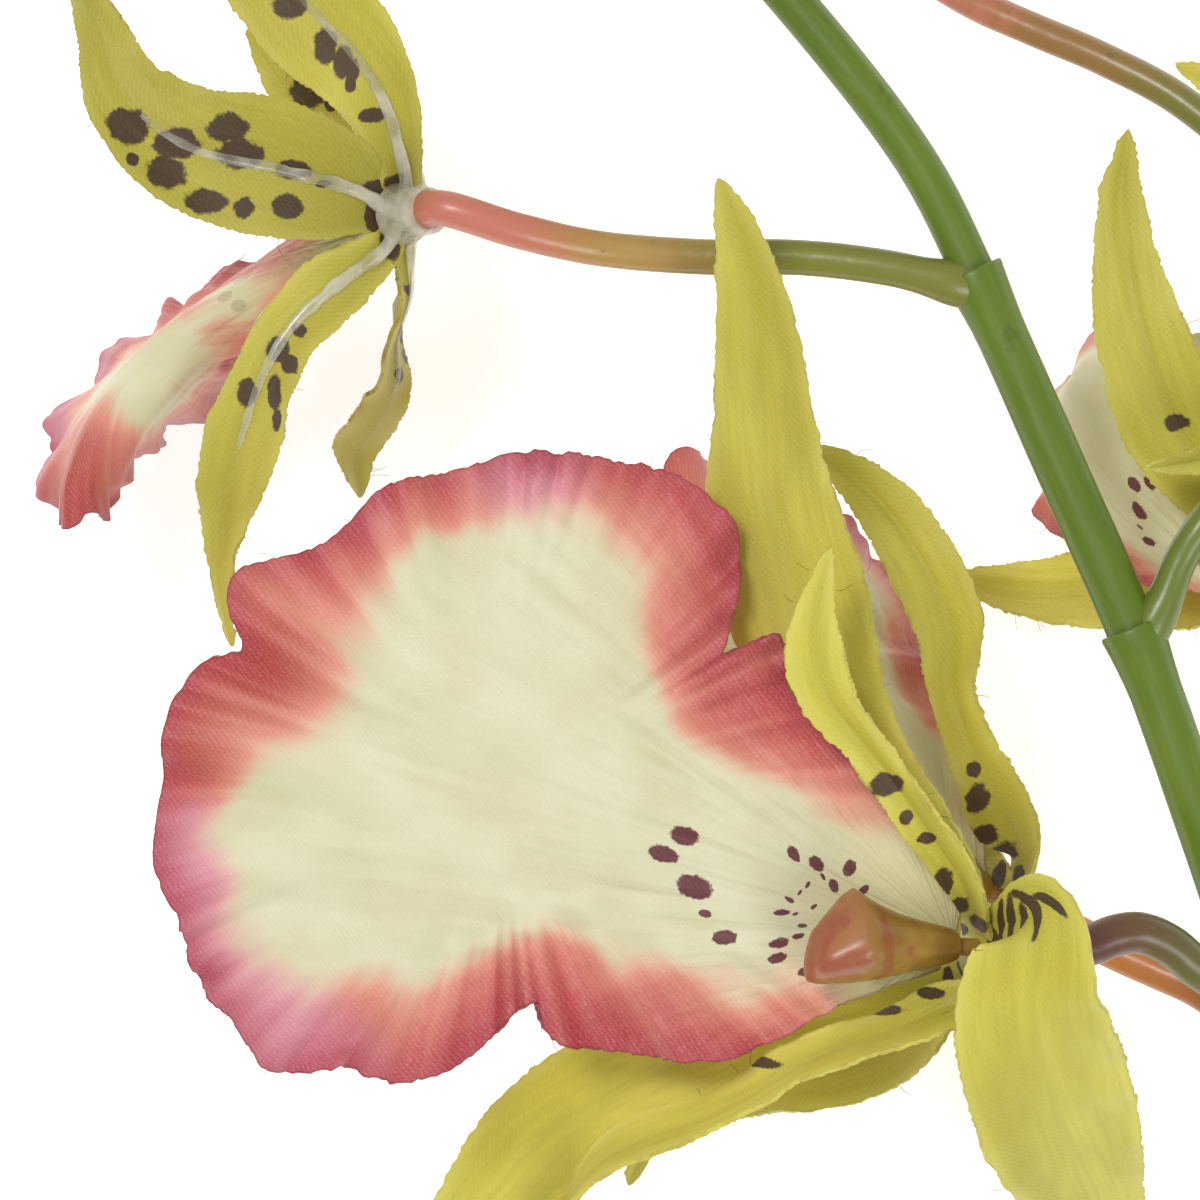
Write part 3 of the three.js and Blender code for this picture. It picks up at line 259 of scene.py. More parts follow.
        [5, 75.5, 8, 4.6], [-2.5, 80.5, 3, 3.6], [-8.5, 85, 0.6, 1.9], [-12.5, 88, 0.3, 0.6]],
        [[-0.2, 0.2, 1], [0, 0, 1]]),
      ([0.4, 0.2, -0.9], [[26.6, 70, 26, 2.6], [29.5, 75, 19, 4.2], [33, 81, 12, 5.2],
        [36.5, 88.5, 5.8, 4.8], [39.5, 96, 1.5, 3.4], [41.5, 102, 0.3, 1.8], [43, 106, 0.3, 0.6]],
        [[-0.4, 0.3, 0.9], [0, 0, 1]]),
    ],
    "lip": {
      "size": 0.8, "ruffle": 1.2, "fold": {"radius": 40, "angle": 0.6, "towards": -1},
      "middle": [[23.9, 69, 28.3], [17.5, 73.5, 27], [11, 79.5, 26.5], [5, 86, 25], [0, 92.5, 22],
        [-4, 98.5, 17]],
      "face": [[-0.4, 0.3, 0.9], [-0.1, 0.1, 1], [-0.2, 0.4, 0.9]],
    },
    "column": [-0.53, 0.6, 0.59],
  },
]

BUDS = [
  {
    "name": "bud_1", "node": 5, "stalk": [[10, 80, 49], [12.5, 87, 52]],
    "aim": [0.25, 0.9, 0.25], "length": 17, "radius": 4.4,
  },
  {
    "name": "bud_2", "node": 6, "stalk": [[-19, 93.5, 47.5], [-25, 93, 49.5]],
    "aim": [-0.9, -0.25, 0.2], "length": 15, "radius": 3.9,
  },
  {
    "name": "bud_3", "node": 7, "stalk": [[-29.5, 110, 44.5], [-27, 115, 45.5]],
    "aim": [0.35, 0.9, 0.1], "length": 13, "radius": 3.3,
  },
]
TIP_BUD = {"name": "bud_4", "aim": [-0.9, 0.4, -0.15], "length": 11, "radius": 2.8}


class Course:
    """A smooth line through points, read by the share of its length."""

    STEPS = 240

    def __init__(self, points):
        self.knots = [Vector(point) for point in points]
        marks = [self.at(step / self.STEPS) for step in range(self.STEPS + 1)]
        self.reach = [0.0]
        for one, two in zip(marks, marks[1:]):
            self.reach.append(self.reach[-1] + (two - one).length)
        self.length = self.reach[-1]

    def at(self, t):
        last = len(self.knots) - 1
        place = min(max(t, 0), 1) * last
        first = min(int(place), last - 1)
        w = place - first
        b, c = self.knots[first], self.knots[first + 1]
        a = self.knots[first - 1] if first else 2 * b - c
        d = self.knots[first + 2] if first + 2 <= last else 2 * c - b
        leave, arrive = (c - a) / 2, (d - b) / 2
        cubic = 2 * b - 2 * c + leave + arrive
        square = 3 * c - 3 * b - 2 * leave - arrive
        return cubic * w**3 + square * w * w + leave * w + b

    def share(self, way):
        target = min(max(way, 0), 1) * self.length
        step = min(bisect.bisect_right(self.reach, target), self.STEPS) - 1
        span = self.reach[step + 1] - self.reach[step]
        return (step + (target - self.reach[step]) / span) / self.STEPS

    def tangent(self, t):
        return (self.at(min(t + 1e-3, 1)) - self.at(max(t - 1e-3, 0))).normalized()


def facing(directions, way, tangent):
    """Facing directions spaced evenly along a piece, kept square to its run."""
    place = min(way, 0.9999) * (len(directions) - 1)
    first = int(place)
    one, two = (Vector(directions[first + i]).normalized() for i in range(2))
    face = one.lerp(two, place - first)
    return (face - tangent * face.dot(tangent)).normalized()


def soft(x, y=0.0, z=0.0):
    """A smooth, repeatable unevenness between about -1 and 1."""
    return noise.noise(Vector((x, y, z)))


def hub_of(bloom):
    """A bloom's centre and the way it faces."""
    return Vector(bloom["centre"]), Vector(bloom["axis"]).normalized()


# Pieces in the making
def new_piece():
    piece = bmesh.new()
    piece.loops.layers.uv.new("cloth")
    piece.verts.layers.float.new("edge")
    piece.verts.layers.float.new("middle")
    piece.verts.layers.float_vector.new("lean")
    return piece


def grid_laid_by(piece, columns, rows, place):
    """A grid put in place by place(a, b), which gives a point, its measures on the flat and two distances."""
    cloth = piece.loops.layers.uv["cloth"]
    edge, middle = piece.verts.layers.float["edge"], piece.verts.layers.float["middle"]
    made = bmesh.ops.create_grid(piece, x_segments=columns, y_segments=rows, size=0.5)["verts"]
    faces = {face for vert in made for face in vert.link_faces}
    flat = {}
    for vert in made:
        vert.co, flat[vert], vert[edge], vert[middle] = place(vert.co.x + 0.5, vert.co.y + 0.5)
    for face in faces:
        for loop in face.loops:
            loop[cloth].uv = flat[loop.vert]
    return made


def cloth_of(piece, sheet):
    """Gives a sheet the cloth's thickness, half on each side of its middle."""
    lean = piece.verts.layers.float_vector["lean"]
    bmesh.ops.remove_doubles(piece, verts=sheet, dist=1e-4)
    sheet = [vert for vert in sheet if vert.is_valid]
    piece.normal_update()
    for vert in sheet:
        vert[lean] = vert.normal * (CLOTH / 2)
    faces = list({face for vert in sheet for face in vert.link_faces})
    made = bmesh.ops.extrude_face_region(piece, geom=faces, use_keep_orig=True)["geom"]
    for vert in sheet:
        vert.co += vert[lean]
    for vert in made:
        if isinstance(vert, bmesh.types.BMVert):
            vert.co -= vert[lean]


def skin(piece, rings, sides, swell=None, around=1.0):
    """A closed skin over rings, each a centre with its two half-widths as vectors and its distance along."""
    last = len(rings) - 1

    def place(a, b):
        ring = round(b * last)
        centre, one, two, along = rings[ring]
        size = swell(a, ring / last) if swell else 1
        turn = a * FULL_TURN
        point = centre + (one * math.cos(turn) + two * math.sin(turn)) * size
        return point, (a * around, along), 1, along

    made = grid_laid_by(piece, sides, last, place)
    bmesh.ops.remove_doubles(piece, verts=made, dist=1e-4)
    made = [vert for vert in made if vert.is_valid]
    rims = {edge for vert in made for edge in vert.link_edges if edge.is_boundary}
    if rims:
        bmesh.ops.holes_fill(piece, edges=list(rims), sides=0)
    faces = list({face for vert in made for face in vert.link_faces})
    bmesh.ops.recalc_face_normals(piece, faces=faces)


def rings_along(course, profile):
    """Round rings on a course, from (distance along, radius) pairs, without twist from one to the next."""
    rings, one = [], None
    for along, radius in profile:
        way = course.share(along / course.length)
        tangent = course.tangent(way)
        if one is None:
            one = tangent.orthogonal()
        one = (one - tangent * one.dot(tangent)).normalized()
        beyond = along - min(max(along, 0), course.length)
        rings.append((course.at(way) + tangent * beyond, one * radius, tangent.cross(one) * radius, along))
    return rings


def straight_rings(base, axis, profile):
    one = axis.orthogonal().normalized()
    two = axis.cross(one)
    return [(base + axis * height, one * radius, two * radius, height) for radius, height in profile]


def finished(piece, name, finish, nodes, crisp=50):
    """Closes a piece, puts it in the part's frame and hands it over as an object with its finish."""
    bmesh.ops.recalc_face_normals(piece, faces=piece.faces[:])
    bmesh.ops.transform(piece, matrix=TO_PART, verts=piece.verts[:])
    for face in piece.faces:
        face.smooth = True
    mesh = bpy.data.meshes.new(name)
    piece.to_mesh(mesh)
    piece.free()
    mesh.set_sharp_from_angle(angle=math.radians(crisp))
    mesh.materials.append(finish.material)
    made = bpy.data.objects.new(name, mesh)
    bpy.context.scene.collection.objects.link(made)
    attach(made, "root")
    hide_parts(*nodes)


def stray_thread(piece, root, out, up, draw):
    """A loose thread of the cut edge: short, curled and very fine."""
    length, curl, lift = draw.uniform(0.5, 2.0), draw.uniform(-0.8, 0.8), draw.uniform(-0.3, 0.5)
    along = out.cross(up).normalized()
    points = [root - out * 0.3]
    for step in (0.4, 0.75, 1.0):
        points.append(root + (out * step + along * curl * step * step + up * lift * step) * length)
    course = Course(points)
    profile = [(course.length * step / 5, 0.05 - 0.006 * step) for step in range(6)]
    skin(piece, rings_along(course, [(0, 0.01)] + profile + [(course.length, 0.005)]), 4)


# Petals
def petal_courses(bloom, root, spine):
    centre, axis = hub_of(bloom)
    root = Vector(root)
    root = (root - axis * root.dot(axis)).normalized()
    stations = [(*(centre + root * 1.4), 2.1)] + spine
    widths = [(station[3], 0, 0) for station in stations]
    return Course([station[:3] for station in stations]), Course(widths)


def petal_stations(bloom, tepal, rows, share=1.0):
    """Even stations along a petal: point, sideways and facing directions, half-width, share of the way."""
    root, spine, faces = tepal
    course, widths = petal_courses(bloom, root, spine)
    faces = [bloom["axis"]] + faces
    stations = []
    for row in range(rows + 1):
        way = share * row / rows
        t = course.share(way)
        tangent = course.tangent(t)
        face = facing(faces, way, tangent)
        stations.append((course.at(t), tangent.cross(face), face, widths.at(t).x, way))
    return stations, course.length


def swell_at(way):
    """How fully a petal is formed: nothing at its root, most past its middle, less towards its tip."""
    return math.sin(math.pi * min(1, way * 1.1))


def hollow(width, side, way):
    """How far a petal's cloth stands forward of its spine, from side -1 to 1."""
    return 0.16 * width * side * side * swell_at(way)


def petal(piece, bloom, tepal, order):
    stations, length = petal_stations(bloom, tepal, PETAL_ROWS)
    waves, phase = 2.3 + 0.4 * order, 1.7 * order
    seed = 10 * order + 100 * bloom["node"]
    nicks = random.Random(seed)
    cuts = {side: [nicks.gauss(0, 0.07) for _ in stations] for side in (-1, 1)}

    def place(a, b):
        row = round(b * PETAL_ROWS)
        at, across, face, width, way = stations[row]
        side = 2 * a - 1
        hand = 1 if side > 0 else -1
        along = way * length
        swell = swell_at(way)
        point_in = min(1, (length - along) / 1.4) ** 0.5
        out = abs(side)
        cut = (cuts[hand][row] + 0.25 * soft(along * 0.35, hand, seed)) * min(1, along / 4)
        reach = (side * width + hand * cut * out**6) * point_in
        rise = hollow(width, side, way)
        rise += 0.45 * swell * out**3 * math.sin(waves * way * FULL_TURN + phase + side)
        # Small curls of the cut edge, the pressed middle crease and soft lengthwise pleats
        rise += 0.55 * swell * out**4 * soft(along * 0.22, hand * 3, seed + 5)
        rise -= 0.28 * math.exp(-((reach / 0.55) ** 2)) * min(1, along / 5)
        rise += 0.1 * swell * soft(reach * 1.1, along * 0.06, seed + 9)
        point = at + across * reach + face * rise
        point.z = max(point.z, CLOTH / 2)
        return point, (reach + PETAL_SPACING * order, along), (1 - out) * width, abs(reach)

    sheet = grid_laid_by(piece, PETAL_COLUMNS, PETAL_ROWS, place)
    cloth_of(piece, sheet)
    for _ in range(PETAL_THREADS):
        row, hand = nicks.randrange(30, PETAL_ROWS - 8), nicks.choice((-1, 1))
        root = place((hand + 1) / 2, row / PETAL_ROWS)[0]
        _, across, face, _, _ = stations[row]
        stray_thread(piece, root, across * hand, face, nicks)


def petals(bloom):
    piece = new_piece()
    centre, axis = hub_of(bloom)
    for order, tepal in enumerate(bloom["tepals"]):
        petal(piece, bloom, tepal, order)
    disc = [(0.05, -0.24), (3.2, -0.24), (3.4, -0.1), (3.4, 0.1), (3.2, 0.24), (0.05, 0.24)]
    skin(piece, straight_rings(centre, axis, disc), 36)
    return piece


# The clear hub behind the petals, with a rib on the back of each that runs along this share of it
RIB_SHARE = 0.6


def rib_frame(bloom):
    piece = new_piece()
    centre, axis = hub_of(bloom)
    seat, back = -SEAT, -SEAT - HUB_LENGTH
    bore = bloom["stalk_radius"] + BORE_GAP
    hub = [
        (0.05, seat), (HUB_FRONT - 0.8, seat), (HUB_FRONT - 0.5, seat - 0.3), (HUB_FRONT - 0.7, seat - 1.2),
        (bore + 0.75, seat - 2.4), (bore + 0.6, seat - 3.8), (bore + 0.5, back + 0.9),
        (bore + 0.35, back + 0.5), (bore, back + 0.7), (bore, back + 3), (0.05, back + 3.2),
    ]
    skin(piece, straight_rings(centre, axis, hub), 40)
    for order, tepal in enumerate(bloom["tepals"]):
        stations, length = petal_stations(bloom, tepal, RIB_ROWS, share=RIB_SHARE)
        rings = []
        for row, (at, across, face, _, way) in enumerate(stations):
            lean = 1 - 0.62 * (row / RIB_ROWS)
            end = min(1, 0.2 + (RIB_ROWS - row) / 3)
            wide = 0.78 * lean * end * (1 + 0.35 * soft(row * 0.45, order, 4))
            high = (0.34 + 0.5 * max(0, 1 - row / 9)) * lean * end
            rings.append((at - face * (0.28 + high), across * wide, face * high, way * length))
        skin(piece, rings, 12)
    return piece


# The lip: one flat blank, formed over its middle line
def lip_rim(count):
    """The blank's outline, walked so that no point hides behind another when seen from the middle."""
    course = Course([(x, y, 0) for x, y in LIP_BLANK + LIP_BLANK[:1]])
    middle = Vector((*LIP_MIDDLE, 0))
    corners, last = [], None
    for step in range(count):
        away = course.at(course.share(step / count)) - middle
        spoke = math.atan2(away.y, away.x)
        if last is not None:
            spoke -= FULL_TURN * round((spoke - last) / FULL_TURN)
            spoke = min(spoke, last - 2e-3)
        last = spoke
        corners.append(middle + away.length * Vector((math.cos(spoke), math.sin(spoke), 0)))
    return corners


def lip_relief(x, y, edge, order):
    """Creases that fan from the throat, and the waves and flutes of the rim."""
    reach, angle = math.hypot(x, y), math.atan2(y, -x)
    fan = 0.9 * soft(angle * 5.5, reach * 0.03, order) + 0.6 * soft(angle * 14, reach * 0.045, order + 7)
    fan += 0.22 * soft(angle * 30, reach * 0.07, order + 13)
    fan *= min(1, reach / 24)
    from_middle = Vector((x - LIP_MIDDLE[0], y - LIP_MIDDLE[1]))
    spoke = math.atan2(from_middle.y, from_middle.x)
    one, two = math.cos(spoke), math.sin(spoke)
    uneven = soft(one * 4, two * 4, order + 3)
    swing = spoke * 52 + 5 * soft(one * 2.5, two * 2.5, order)
    flutes = math.exp(-((edge / 5.5) ** 1.5)) * math.sin(swing) * (0.5 + 1.1 * uneven)
    wave = math.exp(-((edge / 9) ** 1.6)) * math.sin(spoke * 13 + 1.0)
    # The rim's waves die out before they meet at the middle
    calm = min(1, from_middle.length / 16) ** 3
    return fan, wave * calm, flutes * calm


# The upper left bloom's lip, seen nearly edge on, is bent a little less than its solid and is shorter
LIP_FOLDS = {"bloom_1": {"angle": 1.44, "short": 0.88}}


def formed_lip(bloom, order):
    piece = new_piece()
    lip = bloom["lip"]
    size, large = lip["size"], lip["size"] == 1
    fold = {**lip["fold"], "short": 1, **LIP_FOLDS.get(bloom["name"], {})}
    rim, rings = LARGE_LIP_MESH if large else SMALL_LIP_MESH
    path = Course(lip["middle"])
    middle = Vector((*LIP_MIDDLE, 0))
    outline = [corner - middle for corner in lip_rim(rim)]
    # The inner rings follow a rounded outline, so that they meet at the middle without a star of folds
    reach_round = rim // 16
    rounded = []
    for step in range(rim):
        near_by = [outline[(step + beside) % rim] for beside in range(-reach_round, reach_round + 1)]
        rounded.append(sum(near_by, Vector()) / len(near_by))
    forward = (-math.cos(LIP_SLANT), math.sin(LIP_SLANT))
    nicks = random.Random(700 + order)
    cuts = [nicks.gauss(0, 0.1) for _ in outline]
    near = kdtree.KDTree(rim)
    for step, corner in enumerate(outline):
        near.insert(corner + middle, step)
    near.balance()

    def place(a, b):
        step = round(a * rim) % rim
        out = b**0.8
        x, y, _ = middle + rounded[step].lerp(outline[step], out * out) * out
        ahead = max(0, (x * forward[0] + y * forward[1]) * size * fold["short"])
        pinch = 1 if large else min(1, 0.2 + ahead / 18)
        across_by = (x * forward[1] - y * forward[0]) * size * pinch
        way = min(1, ahead / path.length)
        t = path.share(way)
        tangent = path.tangent(t)
        at = path.at(t) + tangent * max(0, ahead - path.length)
        up = facing(lip["face"], way, tangent)
        bend = min(abs(across_by) / fold["radius"], fold["angle"])
        straight = abs(across_by) - bend * fold["radius"]
        reach = fold["radius"] * math.sin(bend) + straight * math.cos(bend)
        drop = fold["radius"] * (1 - math.cos(bend)) + straight * math.sin(bend)
        start = min(1, ahead / 14)
        ease = min(1, 0.25 + fold["radius"] / 12)
        edge = near.find(Vector((x, y, 0)))[2]
        fan, wave, flutes = lip_relief(x, y, edge, order)
        wave = (lip["ruffle"] * wave + (fan * ease + 0.75 * flutes) * size) * start
        hand = 1 if across_by > 0 else -1
        across = tangent.cross(up) * hand
        cut = cuts[step] * out**20 * start
        # The cut runs on in the bent sheet's own plane, and the relief stands square to it
        turned, sunk = math.cos(bend), fold["towards"] * math.sin(bend)
        point = at + across * (reach + cut * turned - wave * sunk)
        point += up * (drop * fold["towards"] + cut * sunk + wave * turned)
        point.z = max(point.z, CLOTH / 2)
        return point, (x, y), edge, math.hypot(x, y)

    sheet = grid_laid_by(piece, rim, rings, place)
    cloth_of(piece, sheet)
    for _ in range(LARGE_LIP_THREADS if large else SMALL_LIP_THREADS):
        around = nicks.randrange(rim // 8, rim) / rim
        marks = ((around, 1), (around, 0.94), (around + 2 / rim, 1))
        root, inner, beside = (place(a, b)[0] for a, b in marks)
        out = (root - inner).normalized()
        stray_thread(piece, root, out, out.cross(beside - root).normalized(), nicks)
    return piece


# The hooded column, and the pin that holds the petals between it and the hub
def column(bloom):
    piece = new_piece()
    centre, axis = hub_of(bloom)
    aim = Vector(bloom["column"]).normalized()
    base = centre + axis * COLUMN_BASE
    # Radius, distance along, and how far the ring lies towards the hood's peak
    shape = [
        (0.05, -0.5, 0), (1.4, -0.4, 0), (1.75, 0.3, 0), (2.1, 1.8, 0), (2.6, 3.9, 0), (3.2, 6, 0.05),
        (3.9, 8, 0.2), (4.5, 9.6, 0.45), (4.8, 10.5, 0.55), (4.6, 11.1, 0.3), (4.2, 12, -0.15),
        (3.7, 13, -0.7), (3.15, 14, -1.2), (2.6, 14.8, -1.55), (2, 15.1, -1.7), (1.1, 15.3, -1.75),
        (0.05, COLUMN_LENGTH, -1.75),
    ]
    lift = aim.cross(axis).normalized()

    def hood(a, b):
        # A keel on top, a flatter underside, and pressed flanks
        turn = a * FULL_TURN
        keel = 0.13 * math.cos(3 * turn) + 0.03 * math.cos(6 * turn) + 0.05 * math.cos(2 * turn + 0.5)
        return 1 - 0.05 * b + b * keel + 0.05 * soft(math.cos(turn) * 1.6, math.sin(turn) * 1.6, b * 4)

    rings = straight_rings(base, aim, [(radius, height) for radius, height, _ in shape])
    rings = [(ring[0] + lift * aside, *ring[1:]) for ring, (_, _, aside) in zip(rings, shape)]
    skin(piece, rings, 40, swell=hood)
    pin = [(0.05, -2.6), (0.8, -2.6), (0.9, -2.4), (0.9, 4), (0.8, 4.1), (0.05, 4.1)]
    skin(piece, straight_rings(centre, axis, pin), 20)
    return piece


# Main stem
STEM_COURSE = Course([at for at, _ in STEM])


def stem_distance(step):
    """How far along the stem one of its listed points is."""
    mark = step / (len(STEM) - 1) * Course.STEPS
    first = min(int(mark), Course.STEPS - 1)
    before, after = STEM_COURSE.reach[first:first + 2]
    return before + (mark - first) * (after - before)


NODES = [stem_distance(step) for step, (_, radius) in enumerate(STEM) if radius]
SEGMENT_RADII = [STALK_RADIUS] + [radius for _, radius in STEM if radius]


def stem_segment(order):
    """One segment: it starts inside the collar of the one below and ends in a flared collar of its own."""
    piece = new_piece()
    radius = SEGMENT_RADII[order]
    first = 0 if order == 0 else NODES[order - 1] - 2
    tip = order == len(NODES)
    last = STEM_COURSE.length if tip else NODES[order] + 2.2
    steps = 90 if order == 0 else 24
    collar = 0 if tip else 0.22

    def radius_at(along):
        from_top = last - along
        flare = collar * max(0, 1 - from_top / 7) ** 1.3
        return radius * (1 + flare) * (1 + 0.012 * soft(along * 0.12, order))

    inset, shoulder = (0.05, 0.97) if order else (0.9, 0.96)
    profile = [(first, inset), (first, radius * shoulder)]
    for step in range(steps + 1):
        along = first + 0.15 + (last - first - 0.5) * step / steps
        profile.append((along, radius_at(along)))
    if tip:
        profile += [(last - 0.1, radius * 0.8), (last, radius * 0.5), (last, 0.05)]
    else:
        # The collar's lip, and the bore that the next segment plugs into
        top, inner = radius_at(last), SEGMENT_RADII[order + 1] + BORE_GAP
        profile += [(last - 0.1, top * 0.97), (last, top * 0.92), (last - 0.05, inner + 0.15)]
        profile += [(last - 0.4, inner), (last - 3.5, inner), (last - 3.6, 0.05)]
    skin(piece, rings_along(STEM_COURSE, profile), 36)
    return piece


# Flower stalks
def stalk_course(flower):
    start = STEM_COURSE.share(NODES[flower["node"]] / STEM_COURSE.length)
    points = [STEM_COURSE.at(start)] + flower["stalk"]
    if "centre" in flower:
        hub, aim = hub_of(flower)
        points += [hub - aim * STALK_ENTRY, hub - aim * STALK_END]
    return Course(points)


def stalk(piece, flower, radius):
    """A stalk with a thicker foot. It gives back its length."""
    course = stalk_course(flower)
    profile = [(0, 0.05), (0, radius)]
    steps = 110
    for step in range(steps + 1):
        along = course.length * step / steps
        foot = 1 + 0.3 * math.exp(-(((along - 2.4) / 3.2) ** 2))
        uneven = 1 + 0.02 * soft(along * 0.25, flower["node"])
        profile.append((along, radius * foot * uneven))
    profile.append((course.length, 0.05))
    skin(piece, rings_along(course, profile), 28)
    return course.length


# Buds: closed petals, three of them standing proud as ridges
def bud_body(piece, bud, foot):
    aim = Vector(bud["aim"]).normalized()
    length, radius, steps = bud["length"], bud["radius"], 40
    profile = []
    for step in range(steps + 1):
        around = math.pi * step / steps
        high = (1 - math.cos(around)) / 2
        profile.append((max(0.02, math.sin(around)) * radius * (1.22 - 0.44 * high), high * length))

    def petal_seams(a, b):
        turn = 3 * (a * FULL_TURN + 0.9 * b)
        seam = abs(math.sin(turn / 2 + 0.6)) ** 0.35
        return 1 + 0.07 * math.cos(turn) - 0.1 * (1 - seam) * math.sin(math.pi * min(1, b * 1.05))

    skin(piece, straight_rings(foot, aim, profile), 96, swell=petal_seams, around=FULL_TURN * radius)


# Finishes
def tint(red, green, blue):
    """A colour as the eye reads it, 0 to 255, in the form that shaders take."""
    def one(value):
        value /= 255
        return value / 12.92 if value <= 0.04045 else ((value + 0.055) / 1.055) ** 2.4
    return (one(red), one(green), one(blue), 1)


class Reading:
    """A value on a surface. Sums, products and the like add the nodes that work them out."""

    def __init__(self, finish, socket):
        self.finish, self.socket = finish, socket

    def math(self, operation, *others):
        return self.finish.math(operation, self, *others)

    def __add__(self, other):
        return self.math("ADD", other)

    def __mul__(self, other):
        return self.math("MULTIPLY", other)

    def __sub__(self, other):
        return self.math("SUBTRACT", other)

    def __rsub__(self, other):
        return self.finish.math("SUBTRACT", other, self)

    def __truediv__(self, other):
        return self.math("DIVIDE", other)

    __radd__, __rmul__ = __add__, __mul__


class Finish:
    """One material of this orchid: its shader's constants, and the nodes that vary its look."""

    def __init__(self, name, **constants):
        self.material = bpy.data.materials.new(name)
        self.material.use_nodes = True
        self.tree = self.material.node_tree
        self.shader = self.tree.nodes["Principled BSDF"]
        for socket, value in constants.items():
            self.shader.inputs[socket.replace("_", " ")].default_value = value

    def node(self, kind, settings=None, inputs=None):
        made = self.tree.nodes.new(kind)
        for setting, value in (settings or {}).items():
            setattr(made, setting, value)
        for socket, value in (inputs or {}).items():
            self.feed(made.inputs[socket], value)
        return made

    def feed(self, socket, value):
        if isinstance(value, Reading):
            value = value.socket
        if isinstance(value, bpy.types.NodeSocket):
            self.tree.links.new(value, socket)
        else:
            socket.default_value = value

    def math(self, operation, *values):
        made = self.node("ShaderNodeMath", {"operation": operation}, dict(enumerate(values)))
        return Reading(self, made.outputs[0])

    def vector(self, operation, *values):
        return self.node("ShaderNodeVectorMath", {"operation": operation}, dict(enumerate(values))).outputs

    def mix(self, share, one, two):
        settings = {"data_type": "RGBA", "clamp_factor": True}
        return self.node("ShaderNodeMix", settings, {0: share, 6: one, 7: two}).outputs[2]

    def step(self, value, low, high, at_low=0.0, at_high=1.0):
        """A smooth step from one number to another."""
        inputs = {"Value": value, "From Min": low, "From Max": high, "To Min": at_low, "To Max": at_high}
        made = self.node("ShaderNodeMapRange", {"interpolation_type": "SMOOTHSTEP"}, inputs)
        return Reading(self, made.outputs["Result"])

    def grain(self, place, scale, detail=2.0, roughness=0.5):
        inputs = {"Vector": place, "Scale": scale, "Detail": detail, "Roughness": roughness}
        return Reading(self, self.node("ShaderNodeTexNoise", None, inputs).outputs["Fac"])

    def cloth(self):
        return self.node("ShaderNodeUVMap", {"uv_map": "cloth"}).outputs["UV"]

    def distance(self, name):
        return Reading(self, self.node("ShaderNodeAttribute", {"attribute_name": name}).outputs["Fac"])

    def object_place(self):
        return self.node("ShaderNodeTexCoord").outputs["Object"]

    def stretched(self, place, scale, turn=0.0):
        inputs = {"Vector": place, "Scale": scale, "Rotation": (0, 0, turn)}
        return self.node("ShaderNodeMapping", None, inputs).outputs[0]

    def parts(self, place):
        made = self.node("ShaderNodeSeparateXYZ", None, {0: place})
        return tuple(Reading(self, made.outputs[i]) for i in range(3))

    def joined(self, *values):
        return self.node("ShaderNodeCombineXYZ", None, dict(enumerate(values))).outputs[0]

    def nearest_spot(self, place, spots):
        """How far the nearest spot is, 1 at its rim. A spot is its x, y, half-length, half-width and turn."""
        nearest = None
        for x, y, long, wide, turn in spots:
            inputs = {"Location": (x, y, 0), "Rotation": (0, 0, turn), "Scale": (long, wide, 1)}
            inputs["Vector"] = place
            local = self.node("ShaderNodeMapping", {"vector_type": "TEXTURE"}, inputs).outputs[0]
            reading = Reading(self, self.vector("LENGTH", local)["Value"])
            nearest = reading if nearest is None else nearest.math("MINIMUM", reading)
        return nearest

    def near_places(self, place, places):
        """A soft sum of round places, each fading from its middle to its reach."""
        total = 0.0
        for x, y, reach, strength in places:
            away = Reading(self, self.vector("DISTANCE", place, (x, y, 0))["Value"])
            total = self.step(away, 0.0, reach, strength, 0.0) + total
        return total

    def weave_and_glints(self, place):
        """Satin: fine slanting floats, broken along their length into short uneven glints. It makes the
        cloth's bump and roughness, and the painted glint highlights that lighten the colours.
        """
        x, y, _ = self.parts(place)
        wander = self.grain(place, 1.3, 2) * 7.0
        floats = ((x * 0.81 + y * 0.59) * (FULL_TURN / WEAVE) + wander).math("SINE")
        glints = self.grain(self.stretched(place, (2.3, 9.0, 1), turn=0.63), 1.0, 3, 0.75) - 0.5
        return floats * 0.22 + glints * 3.2

    def look(self, **sockets):
        for socket, value in sockets.items():
            self.feed(self.shader.inputs[socket.replace("_", " ")], value)

    def raised(self, height_mm):
        """Feeds the shader's normal from a height in millimetres."""
        inputs = {"Strength": 1.0, "Distance": 0.001, "Height": height_mm}
        bump = self.node("ShaderNodeBump", None, inputs)
        self.feed(self.shader.inputs["Normal"], bump.outputs[0])


# Shader constants that all the cloths share
SATIN = {"Specular_IOR_Level": 0.4, "Sheen_Weight": 0.12, "Sheen_Roughness": 0.4}


